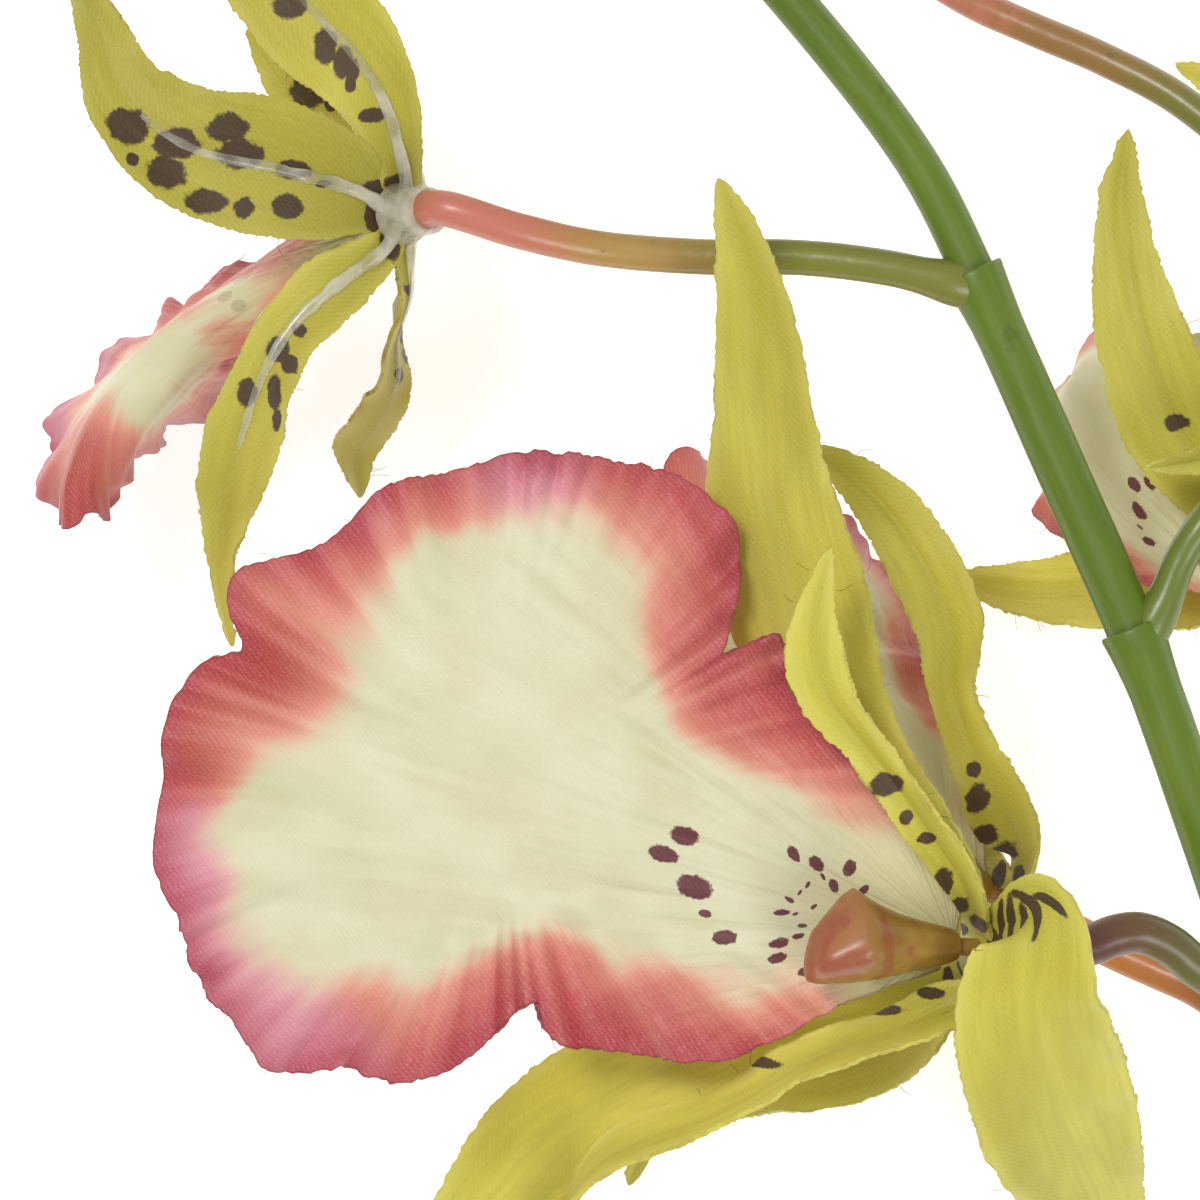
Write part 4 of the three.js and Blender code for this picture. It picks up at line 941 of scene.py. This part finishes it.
def petal_finish(name, spots, seed, painted_shade_share):
    finish = Finish(name, **SATIN)
    cloth = finish.cloth()
    edge, middle = finish.distance("edge"), finish.distance("middle")
    across, along, _ = finish.parts(cloth)
    moved = finish.vector("ADD", cloth, (seed * 31.0, 0, 0))["Vector"]
    broad = finish.grain(finish.stretched(moved, (0.16, 0.05, 1)), 1.0, 2)
    streak = finish.grain(finish.stretched(moved, (1.6, 0.09, 1)), 1.0, 3)
    yellow = finish.mix(finish.step(broad, 0.3, 0.7), tint(184, 174, 50), tint(212, 204, 76))
    yellow = finish.mix(finish.step(streak, 0.35, 0.75) * 0.45, yellow, tint(182, 170, 50))
    throat = finish.step(along, 2.0, 16.0, 1.0, 0.0)
    yellow = finish.mix(throat * 0.75, yellow, tint(168, 162, 50))
    crease = finish.step(middle, 0.0, 1.6, 1.0, 0.0) * finish.step(along, 30.0, 60.0, 0.55, 0.2)
    yellow = finish.mix(crease * 0.6, yellow, tint(170, 160, 46))
    pale = finish.step(edge, 0.2, 1.5, 1.0, 0.0)
    yellow = finish.mix(pale * 0.35, yellow, tint(226, 218, 110))
    # Painted shade: the first petal of each bloom is painted darker than the rest, and every petal of a bloom
    # darker by the bloom's share
    painted_shade = finish.step(across, 0.4 * PETAL_SPACING, 0.6 * PETAL_SPACING, painted_shade_share + 0.25, painted_shade_share)
    yellow = finish.mix(painted_shade, yellow, tint(140, 128, 34))
    weave_and_glints = finish.weave_and_glints(cloth)
    # Painted highlight: the satin's glints lighten the yellow
    yellow = finish.mix(finish.step(weave_and_glints, -0.3, 1.1) * 0.22, yellow, tint(236, 230, 150))
    # Brown print with shaken outlines, then the edge that the hot cut browned in places
    shake = finish.grain(cloth, 0.8, 3, 0.6) - 0.5
    nearest = finish.nearest_spot(cloth, spots) + shake * 0.9 + weave_and_glints * 0.05
    print_mask = finish.step(nearest, 0.82, 1.08, 1.0, 0.0)
    # Painted highlight: the brown print is lighter where the glints fall
    brown = finish.mix(finish.step(weave_and_glints, 0.0, 1.5), tint(54, 26, 26), tint(96, 62, 48))
    yellow = finish.mix(print_mask * 0.93, yellow, brown)
    in_places = finish.step(finish.grain(cloth, 0.5, 2), 0.45, 0.6, 0.05, 0.3)
    burnt = finish.step(edge, 0.05, 0.22, 1.0, 0.0) * in_places
    yellow = finish.mix(burnt, yellow, tint(150, 118, 50))
    finish.look(Base_Color=yellow, Roughness=0.46 - 0.06 * weave_and_glints)
    finish.raised(weave_and_glints * 0.012 + streak * 0.12)
    return finish


# How much painted shade darkens a bloom's yellow beyond the others': the upper left one, seen from behind, is
# painted darker
PETAL_PAINTED_SHADE = {"bloom_1": 0.25}

# Maroon freckles printed on the lip's flat blank: x, y, half-length, half-width and turn
LIP_FRECKLES = [
    (-26.7, 10.1, 1.35, 0.85, -0.2), (-28.8, 8.3, 1.4, 0.75, -0.3), (-25.7, 5.0, 1.7, 1.0, -0.35),
    (-24.6, 2.3, 0.6, 0.35, -0.2), (-22.6, -0.1, 1.15, 0.66, 0.0), (-15.8, 8.3, 0.85, 0.5, -1.0),
    (-13.5, 7.3, 0.85, 0.6, -0.9), (-10.2, 6.9, 0.8, 0.6, 1.2), (-11.8, 5.1, 0.65, 0.4, 2.0),
    (-8.8, 4.7, 0.6, 0.35, 0.9), (-17.0, 2.5, 0.7, 0.32, 0.1), (-16.2, 3.7, 0.5, 0.24, -0.5),
    (-12.5, 1.7, 0.6, 0.3, 0.3), (-17.2, -0.5, 0.9, 0.42, 0.15), (-17.3, -2.0, 0.95, 0.5, 0.4),
    (-14.7, -3.4, 0.6, 0.42, 0.6), (-14.9, 1.2, 0.45, 0.2, 0.0), (-13.8, 3.0, 0.35, 0.18, 0.6),
    (-14.4, 5.2, 0.35, 0.16, 1.0), (-12.9, 6.0, 0.35, 0.16, 2.1), (-15.3, 0.1, 0.6, 0.24, 0.2),
    (-15.6, 2.4, 0.3, 0.14, 0.3), (-13.2, 0.6, 0.5, 0.2, 0.1), (-15.2, 4.4, 0.3, 0.14, 0.9),
]

# The colour sprayed on the rim, in round places: x, y, reach and strength
LIP_SPRAY = [
    (-65, 26, 17, 1.0), (-26, 37, 15, 1.0), (-21, 23, 12, 0.9), (-60, -8, 13, 0.6), (-33, -9, 15, 1.0),
    (-47, -9, 9, 0.8), (-76, 18, 9, 0.5), (-10, 16, 7, 0.4), (-50, 44, 9, 0.3), (-70, -8, 12, 0.3),
]
LIP_DEEP_RED = [
    (-24, 35, 14, 1), (-31, -11, 15, 1.1), (-22, 23, 9, 0.8), (-48, -12, 9, 0.7), (-68, 27, 7, 0.5),
]
LIP_PINK = [
    (-78, 6, 15, 1.2), (-69, -9, 15, 1.2), (-42, 47, 13, 0.9), (-58, 42, 9, 0.5), (-57, -13, 8, 0.5),
]
LIP_ORANGE = [(-66, 26, 14, 1), (-76, 18, 10, 0.8), (-33, 40, 7, 0.4)]

# How wide the sprayed rim is and how dark the freckles are, on a lip seen from the front and from behind
LIP_FRONT = (1.0, 0.95)
LIP_BACKS = {"bloom_1": (2.8, 0.25)}


def lip_finish(name, seed, rim_reach, print_depth):
    finish = Finish(name, **SATIN)
    cloth = finish.cloth()
    x, y, _ = finish.parts(cloth)
    edge, throat = finish.distance("edge"), finish.distance("middle")
    moved = finish.vector("ADD", cloth, (seed * 57.0, 0, 0))["Vector"]
    # Creases fan from the throat, and streaks of the spray fan from the blank's middle
    fan_angle = finish.math("ARCTAN2", y, 0 - x)
    fan_place = finish.joined(fan_angle * 9.0, throat * 0.035, seed * 3.0)
    fan = finish.grain(fan_place, 1.0, 3)
    streak_angle = finish.math("ARCTAN2", y - LIP_MIDDLE[1], x - LIP_MIDDLE[0])
    streak_place = finish.joined(streak_angle * 11.0, throat * 0.02, seed * 5.0)
    streak = finish.grain(streak_place, 1.0, 2)
    wander = finish.grain(moved, 0.1, 2)
    cream = finish.mix(finish.step(wander, 0.3, 0.7), tint(214, 209, 168), tint(224, 220, 185))
    # Painted shade: the cream is darker along the creases that fan from the throat
    cream = finish.mix(finish.step(fan, 0.35, 0.7) * 0.3, cream, tint(204, 204, 160))
    cream = finish.mix(finish.step(throat, 3.0, 20.0, 0.6, 0.0), cream, tint(206, 198, 116))
    # The rim is sprayed coral, deep red in places and pink in others, and fades inwards
    spray = finish.near_places(cloth, LIP_SPRAY)
    width = (4.6 + spray * 6.6 + (wander - 0.5) * 6.0 + (streak - 0.5) * 2.4) * rim_reach
    rim = finish.step(edge / width, -0.25, 2.0, 1.0, 0.0) * finish.step(throat, 6.0, 24.0)
    deep = finish.step(finish.near_places(cloth, LIP_DEEP_RED), 0.1, 0.9)
    pink = finish.step(finish.near_places(cloth, LIP_PINK), 0.2, 0.9)
    orange = finish.step(finish.near_places(cloth, LIP_ORANGE), 0.2, 0.9)
    coral = finish.mix(pink, tint(190, 70, 72), tint(190, 84, 108))
    coral = finish.mix(orange * 0.8, coral, tint(178, 70, 52))
    coral = finish.mix(deep * 0.8, coral, tint(174, 40, 54))
    coral = finish.mix(finish.step(edge, 0.3, 3.5, 0.5, 0.0), coral, tint(170, 52, 72))
    faint = finish.mix(pink, tint(226, 148, 124), tint(224, 156, 164))
    rim = rim * (0.9 + (streak - 0.5) * 0.55 + (fan - 0.5) * 0.5)
    colour = finish.mix(finish.step(rim, 0.02, 0.5), cream, faint)
    colour = finish.mix(finish.step(rim, 0.25, 0.95), colour, coral)
    weave_and_glints = finish.weave_and_glints(cloth)
    # Painted highlight: the satin's glints lighten the lip towards white
    colour = finish.mix(finish.step(weave_and_glints, -0.3, 1.1) * 0.22, colour, tint(250, 234, 226))
    shake = finish.grain(cloth, 2.2, 2) - 0.5
    nearest = finish.nearest_spot(cloth, LIP_FRECKLES) + shake * 0.7
    # Painted highlight: the maroon freckles are lighter where the glints fall
    maroon = finish.mix(finish.step(weave_and_glints, -0.6, 1.0), tint(84, 14, 34), tint(118, 36, 60))
    colour = finish.mix(finish.step(nearest, 0.95, 1.2, print_depth, 0.0), colour, maroon)
    burnt = finish.step(edge, 0.05, 0.35, 1.0, 0.0)
    colour = finish.mix(burnt * 0.55, colour, tint(120, 52, 50))
    finish.look(Base_Color=colour, Roughness=0.4 - 0.07 * weave_and_glints)
    finish.raised(weave_and_glints * 0.014 + fan * 0.7)
    return finish


# Shader constants that the moulded pieces share
MOULDED = {"Specular_IOR_Level": 0.5, "Subsurface_Scale": 0.002}


def column_finish():
    finish = Finish("ochre_column", Subsurface_Weight=0.12, Coat_Roughness=0.2, **MOULDED)
    place = finish.object_place()
    along = finish.distance("middle")
    patches = finish.grain(place, 230.0, 2)
    veins = finish.grain(place, 620.0, 3)
    ochre = finish.mix(finish.step(patches, 0.35, 0.65), tint(146, 108, 38), tint(164, 130, 58))
    ochre = finish.mix(finish.step(veins, 0.5, 0.72) * 0.5, ochre, tint(150, 94, 42))
    ochre = finish.mix(finish.step(along, 8.5, 13.0, 0.0, 0.75), ochre, tint(176, 110, 68))
    uneven = patches + finish.step(along, 6.0, 14.0) * 0.16 + (veins - 0.5) * 0.3
    blotch = finish.step(uneven, 0.54, 0.74)
    colour = finish.mix(blotch * 0.7, ochre, tint(152, 66, 44))
    # A wavering band of coral round the hood's widest part
    from_band = (along - 8.2 + (patches - 0.5) * 3.0).math("ABSOLUTE")
    band = finish.step(from_band, 0.3, 0.9, 1.0, 0.0)
    colour = finish.mix(band * 0.6, colour, tint(148, 62, 42))
    finish.look(Base_Color=colour, Roughness=0.34 + veins * 0.2, Coat_Weight=0.2 + 0.2 * patches)
    finish.raised(veins * 0.12 + patches * 0.2)
    return finish


def clear_finish():
    shine = {"IOR": 1.45, "Specular_IOR_Level": 0.8, "Coat_Weight": 0.5, "Coat_Roughness": 0.1}
    finish = Finish("clear_rib_plastic", **shine)
    place = finish.object_place()
    cloudy = finish.grain(place, 260.0, 3)
    colour = finish.mix(finish.step(cloudy, 0.3, 0.7), tint(190, 184, 156), tint(232, 230, 212))
    # The ribs grow clearer towards their thin ends
    thin = finish.step(finish.distance("middle"), 6.0, 30.0, 0.0, 0.2)
    body = finish.step(cloudy, 0.3, 0.7, 0.34, 0.56) - thin
    finish.look(Base_Color=colour, Roughness=0.1 + cloudy * 0.2, Alpha=body)
    finish.raised(cloudy * 0.25)
    return finish


def stem_finish():
    finish = Finish("satin_green_stem", Subsurface_Weight=0.05, Coat_Roughness=0.25, **MOULDED)
    place = finish.object_place()
    broad = finish.grain(place, 40.0, 2)
    fine = finish.grain(place, 900.0, 3)
    long_marks = finish.grain(finish.stretched(finish.cloth(), (22, 0.12, 1)), 1.0, 2)
    green = finish.mix(finish.step(broad, 0.3, 0.7), tint(86, 112, 20), tint(100, 124, 28))
    green = finish.mix(finish.step(long_marks, 0.45, 0.75) * 0.35, green, tint(116, 136, 44))
    scuff = finish.step(finish.grain(place, 170.0, 4, 0.7), 0.66, 0.72)
    green = finish.mix(scuff * 0.35, green, tint(62, 80, 22))
    finish.look(Base_Color=green, Roughness=0.34 + fine * 0.16, Coat_Weight=0.15)
    finish.raised(fine * 0.02 + broad * 0.4 + long_marks * 0.05)
    return finish


def stalk_finish(name, stops, length):
    """A flower stalk whose colour runs from the stem to the flower through the given stops."""
    finish = Finish(name, Subsurface_Weight=0.05, Coat_Roughness=0.2, **MOULDED)
    place = finish.object_place()
    along = finish.distance("middle") / length
    mottle = finish.grain(finish.stretched(finish.cloth(), (4, 0.35, 1)), 1.0, 3)
    along = along + (mottle - 0.5) * 0.18
    colour = stops[0][1]
    for (one, _), (two, tone) in zip(stops, stops[1:]):
        colour = finish.mix(finish.step(along, one, two), colour, tone)
    flecks = finish.step(finish.grain(place, 700.0, 2), 0.68, 0.74)
    colour = finish.mix(flecks * 0.35, colour, tint(110, 70, 50))
    finish.look(Base_Color=colour, Roughness=0.3 + mottle * 0.14, Coat_Weight=0.2)
    finish.raised(mottle * 0.12)
    return finish


def bud_finish():
    finish = Finish("closed_bud_cloth", **SATIN)
    cloth = finish.cloth()
    along = finish.distance("middle")
    broad = finish.grain(cloth, 0.25, 2)
    weave_and_glints = finish.weave_and_glints(cloth)
    colour = finish.mix(finish.step(broad, 0.3, 0.7), tint(178, 176, 66), tint(206, 200, 92))
    colour = finish.mix(finish.step(along, 0.0, 6.0, 1.0, 0.0), colour, tint(120, 142, 56))
    # Painted highlight: the satin's glints lighten the bud
    colour = finish.mix(finish.step(weave_and_glints, -0.9, 1.1) * 0.16, colour, tint(236, 232, 160))
    fleck = finish.step(finish.grain(cloth, 0.9, 2), 0.7, 0.74)
    colour = finish.mix(fleck * 0.6, colour, tint(120, 80, 60))
    finish.look(Base_Color=colour, Roughness=0.5 + 0.1 * weave_and_glints)
    finish.raised(weave_and_glints * 0.018 + broad * 0.1)
    return finish


def wire_finish():
    finish = Finish("drawn_wire", Metallic=1.0)
    drawn = finish.grain(finish.stretched(finish.object_place(), (1, 0.05, 1)), 4000.0, 2)
    colour = finish.mix(drawn, tint(120, 122, 124), tint(180, 182, 184))
    finish.look(Base_Color=colour, Roughness=0.25 + drawn * 0.25)
    finish.raised(drawn * 0.01)
    return finish


# Brown spots as the photograph shows them on each petal, in millimetres from the middle of the view: x, y,
# half the width and half the height
SEEN_SPOTS = {
    "bloom_1": {
        0: [
            (-47.2, 47.4, 2.1, 1.8), (-46.8, 44.1, 0.6, 0.7), (-42.4, 45.7, 2.4, 1.7),
            (-43.5, 42.9, 1.9, 1.7), (-37.3, 47.2, 2.4, 1.5), (-36.1, 44.6, 2.5, 1.6),
            (-30.8, 43.2, 1.8, 1), (-27.8, 41.7, 0.9, 0.4), (-31.4, 39.4, 1.6, 1.3),
            (-39.5, 39.9, 1.9, 1.3), (-35.6, 39.3, 1.1, 1.1), (-22.5, 41.4, 1.3, 0.7),
            (-22.1, 37.6, 1.5, 1),
        ],
        1: [
            (-31.1, 59.2, 1.8, 1.4), (-27.5, 55.5, 1.2, 2), (-25.8, 53.8, 1, 1.8), (-24.9, 51.6, 0.6, 1),
            (-23, 48.5, 1.4, 0.9), (-24.8, 52.8, 0.7, 1.2),
        ],
        2: [(-29.1, 51, 1.6, 1.7), (-26.9, 49.7, 0.6, 0.8), (-25.2, 48.8, 0.5, 0.5)],
        3: [
            (-32.2, 25, 1.2, 1.4), (-31.1, 23.6, 0.9, 1.2), (-35.3, 20.8, 1.1, 1.5),
            (-32.5, 20.8, 0.7, 2.2), (-32.2, 18, 0.5, 1.2), (-30, 27, 0.8, 0.8),
        ],
        4: [(-19, 31, 0.7, 1.5), (-19.1, 27, 0.6, 1.2), (-20.3, 22.6, 0.5, 0.9), (-19.5, 24.5, 0.5, 0.8)],
    },
    "bloom_2": {
        0: [(36, -33, 0.8, 0.6)],
        1: [
            (28.7, -18.4, 1.8, 1.2), (30.6, -21.7, 0.6, 0.8), (32.8, -23.8, 1, 0.6),
            (34.4, -28.4, 0.9, 2.2), (35.5, -30.5, 1.2, 1),
        ],
        2: [
            (40.3, -32.5, 0.3, 3), (41.2, -31.8, 0.4, 2.6), (42.5, -32.2, 0.4, 2.2),
            (43.8, -31, 0.4, 2.6), (45, -30, 1, 0.4), (42, -34.5, 1.2, 0.4),
        ],
        3: [(28.5, -41, 2.2, 0.5), (33, -39.5, 1.4, 0.6), (15.5, -46, 2.4, 0.5), (36, -36.5, 0.8, 2)],
        4: [(23, -45.5, 2.2, 0.6), (35, -37.5, 0.6, 1)],
    },
    "bloom_3": {
        0: [(57.7, 17.8, 1.4, 0.9)],
    },
    "bloom_4": {
        0: [
            (37.8, -19.8, 1.2, 1.6), (38.5, -23.4, 1.4, 1.2), (40.5, -25.5, 1.2, 1.6),
            (37.4, -16.9, 0.8, 0.8),
        ],
    },
}

# The least share of its size that a slanted petal is taken to show, and limits to a spot on the cloth
LEAST_VIEW, LONGEST_SPOT, THINNEST_SPOT = 0.15, 3.5, 0.25

# A blotch at each petal's root, and the count and reach of the drawn spots on a hidden petal
ROOT_BLOTCH = (0.5, 1.8, 1.7, 1.1, 0.3)
DRAWN_SPOTS, DRAWN_REACH = 5, 16.0


def nearness(height):
    """How much larger than at the sight height the camera shows something at this height."""
    return 1 + (height - SIGHT_HEIGHT) / CAMERA_HEIGHT


def spots_on_petal(bloom, order, seen):
    """Carries spots from the view to a petal's cloth: across, along, half-length, half-width and turn."""
    rows, sides = 200, 20
    stations, length = petal_stations(bloom, bloom["tepals"][order], rows)
    places = kdtree.KDTree((rows + 1) * (2 * sides + 1))
    for row, (at, across, face, width, way) in enumerate(stations):
        for step in range(-sides, sides + 1):
            side = step / sides
            point = at + across * side * width + face * hollow(width, side, way)
            point *= nearness(point.z)
            places.insert((point.x, point.y, 0), row * (2 * sides + 1) + step + sides)
    places.balance()
    spots = []
    for x, y, half_width, half_height in seen:
        row, step = divmod(places.find((x, y, 0))[1], 2 * sides + 1)
        _, across, _, width, way = stations[row]
        before, after = stations[max(row - 1, 0)][0], stations[min(row + 1, rows)][0]
        onward = (after - before).normalized()
        # The two half-axes that the view shows, read on the cloth's own two directions
        share = across.x * onward.y - across.y * onward.x
        share = math.copysign(max(abs(share), LEAST_VIEW), share)
        one = Vector((onward.y, -across.y)) * (half_width / share)
        two = Vector((-onward.x, across.x)) * (half_height / share)
        spread_x, spread_y = one.x**2 + two.x**2, one.y**2 + two.y**2
        shared = one.x * one.y + two.x * two.y
        total, apart = spread_x + spread_y, math.hypot(spread_x - spread_y, 2 * shared)
        long = min(math.sqrt((total + apart) / 2), LONGEST_SPOT)
        short = max(math.sqrt(max(total - apart, 0) / 2), THINNEST_SPOT)
        turn = math.atan2(2 * shared, spread_x - spread_y) / 2
        beside = (step / sides - 1) * width
        spots.append((beside + PETAL_SPACING * order, way * length, long, short, turn))
    return spots


def drawn_spots(order, seed):
    """Spots for a petal that the photograph doesn't show from the front."""
    draw = random.Random(seed)
    spots = []
    for _ in range(DRAWN_SPOTS):
        across, along = draw.uniform(-2.6, 2.6), draw.uniform(5, DRAWN_REACH)
        long = draw.uniform(0.6, 1.4)
        short = long * draw.uniform(0.5, 0.8)
        spots.append((across + PETAL_SPACING * order, along, long, short, draw.uniform(-1.5, 1.5)))
    return spots


def printed_spots(order, bloom):
    """All the spots on one bloom's cloth."""
    seen = SEEN_SPOTS.get(bloom["name"], {})
    spots = []
    for petal_order in range(len(bloom["tepals"])):
        spots.append((ROOT_BLOTCH[0] + PETAL_SPACING * petal_order, *ROOT_BLOTCH[1:]))
        if petal_order in seen:
            spots += spots_on_petal(bloom, petal_order, seen[petal_order])
        else:
            spots += drawn_spots(petal_order, 40 * order + petal_order)
    return spots


# Assembly
SALMON, OLIVE, TAN = tint(198, 118, 98), tint(122, 124, 48), tint(176, 140, 76)

# Colours of each stalk by the share of the way from the stem to the flower
STALK_STOPS = {
    "bloom_1": [(0, OLIVE), (0.28, OLIVE), (0.62, TAN), (0.8, SALMON)],
    "bloom_2": [(0, tint(100, 106, 44)), (0.2, tint(100, 100, 44)), (0.75, tint(104, 62, 50))],
    "bloom_3": [(0, OLIVE), (0.3, OLIVE), (0.8, tint(150, 110, 70))],
    "bloom_4": [(0, OLIVE), (0.3, OLIVE), (0.7, tint(190, 120, 70))],
    "bloom_5": [
        (0, tint(104, 120, 40)), (0.62, tint(116, 116, 46)), (0.8, tint(150, 110, 60)), (0.95, SALMON),
    ],
}


def add_stem():
    green = stem_finish()
    for order in range(len(SEGMENT_RADII)):
        node = f"stem_segment_{order}" if order else "stem_stalk"
        finished(stem_segment(order), node + "_fine", green, [node])


def add_bloom(order, bloom, column_look, clear_look):
    name = bloom["name"]
    # Painted shade: each bloom's petals are darkened by its share of painted shade
    spots, painted_shade_share = printed_spots(order, bloom), PETAL_PAINTED_SHADE.get(name, 0.0)
    petal_look = petal_finish(f"{name}_petal_cloth", spots, order, painted_shade_share)
    lip_look = lip_finish(f"{name}_lip_cloth", order, *LIP_BACKS.get(name, LIP_FRONT))
    finished(petals(bloom), f"{name}_petals", petal_look, [f"{name}_tepals"])
    finished(formed_lip(bloom, order), f"{name}_lip_fine", lip_look, [f"{name}_lip"])
    finished(rib_frame(bloom), f"{name}_ribs", clear_look, [f"{name}_rib_frame"])
    finished(column(bloom), f"{name}_column_fine", column_look, [f"{name}_column"])
    piece = new_piece()
    length = stalk(piece, bloom, bloom["stalk_radius"])
    look = stalk_finish(f"{name}_stalk_plastic", STALK_STOPS[name], length)
    finished(piece, f"{name}_stalk", look, [f"{name}_pedicel"])


def add_buds():
    look = bud_finish()
    for bud in BUDS:
        piece = new_piece()
        stalk(piece, bud, bud["radius"] * 0.3)
        foot = Vector(bud["stalk"][-1]) - Vector(bud["aim"]).normalized() * 0.6
        bud_body(piece, bud, foot)
        finished(piece, f"{bud['name']}_fine", look, [bud["name"]], crisp=60)
    piece = new_piece()
    bud_body(piece, TIP_BUD, STEM_COURSE.at(1) + Vector(TIP_BUD["aim"]).normalized() * 0.3)
    finished(piece, "bud_4_fine", look, ["bud_4"], crisp=60)


def dress_wires():
    look = wire_finish()
    for name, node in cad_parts.items():
        if "wire" in name:
            node.data.materials.clear()
            node.data.materials.append(look.material)


# Light: the room's own, the table's glow, and each lamp's place from its aim, width, power and colour
ROOM_LIGHT, TABLE_GLOW = 0.43, 0.62
LAMPS = {
    "key_from_top_left": ((-0.45, 0.5, 1.5), 0.5, 13, (1, 0.99, 0.975)),
    "fill_from_lower_right": ((0.8, -0.9, 1.3), 0.8, 10, (0.98, 0.99, 1)),
}


def add_floor():
    sheet = bmesh.new()
    bmesh.ops.create_grid(sheet, x_segments=1, y_segments=1, size=20)
    mesh = bpy.data.meshes.new("pale_table")
    sheet.to_mesh(mesh)
    sheet.free()
    floor = bpy.data.objects.new("pale_table", mesh)
    bpy.context.scene.collection.objects.link(floor)
    matt = {"Roughness": 0.9, "Specular_IOR_Level": 0.1}
    finish = Finish("pale_table_top", Emission_Strength=TABLE_GLOW, **matt)
    clouds = finish.grain(finish.object_place(), 3.0, 2)
    pale = finish.mix(clouds, tint(246, 246, 246), tint(252, 252, 252))
    finish.look(Base_Color=pale, Emission_Color=pale)
    mesh.materials.append(finish.material)


def add_lamp(name, aim, away, width, power, colour):
    """A round soft lamp that shines on its aim from a place away from it."""
    light = bpy.data.lights.new(name, "AREA")
    light.shape, light.size, light.energy, light.color = "DISK", width, power, colour
    lamp = bpy.data.objects.new(name, light)
    lamp.location = aim + Vector(away)
    lamp.rotation_euler = (-Vector(away)).to_track_quat("-Z", "Y").to_euler()
    bpy.context.scene.collection.objects.link(lamp)


def add_studio():
    world = bpy.data.worlds.new("soft_white_room")
    world.use_nodes = True
    background = world.node_tree.nodes["Background"]
    background.inputs["Color"].default_value = (1, 1, 1, 1)
    background.inputs["Strength"].default_value = ROOM_LIGHT
    bpy.context.scene.world = world
    aim = TO_PART @ Vector((0, 0, 40))
    for name, lamp in LAMPS.items():
        add_lamp(name, aim, *lamp)


def add_camera():
    lens = bpy.data.cameras.new("above")
    lens.sensor_width = 36
    lens.lens = lens.sensor_width * CAMERA_HEIGHT / FRAME_WIDTH
    lens.clip_end = 100
    camera = bpy.data.objects.new("above", lens)
    camera.location = TO_PART @ Vector((0, 0, CAMERA_HEIGHT + SIGHT_HEIGHT))
    bpy.context.scene.collection.objects.link(camera)
    bpy.context.scene.camera = camera


add_camera()
add_studio()
add_floor()
add_stem()
ochre, clear = column_finish(), clear_finish()
for order, bloom in enumerate(BLOOMS):
    add_bloom(order, bloom, ochre, clear)
add_buds()
dress_wires()
bpy.context.scene.view_settings.view_transform = "Standard"
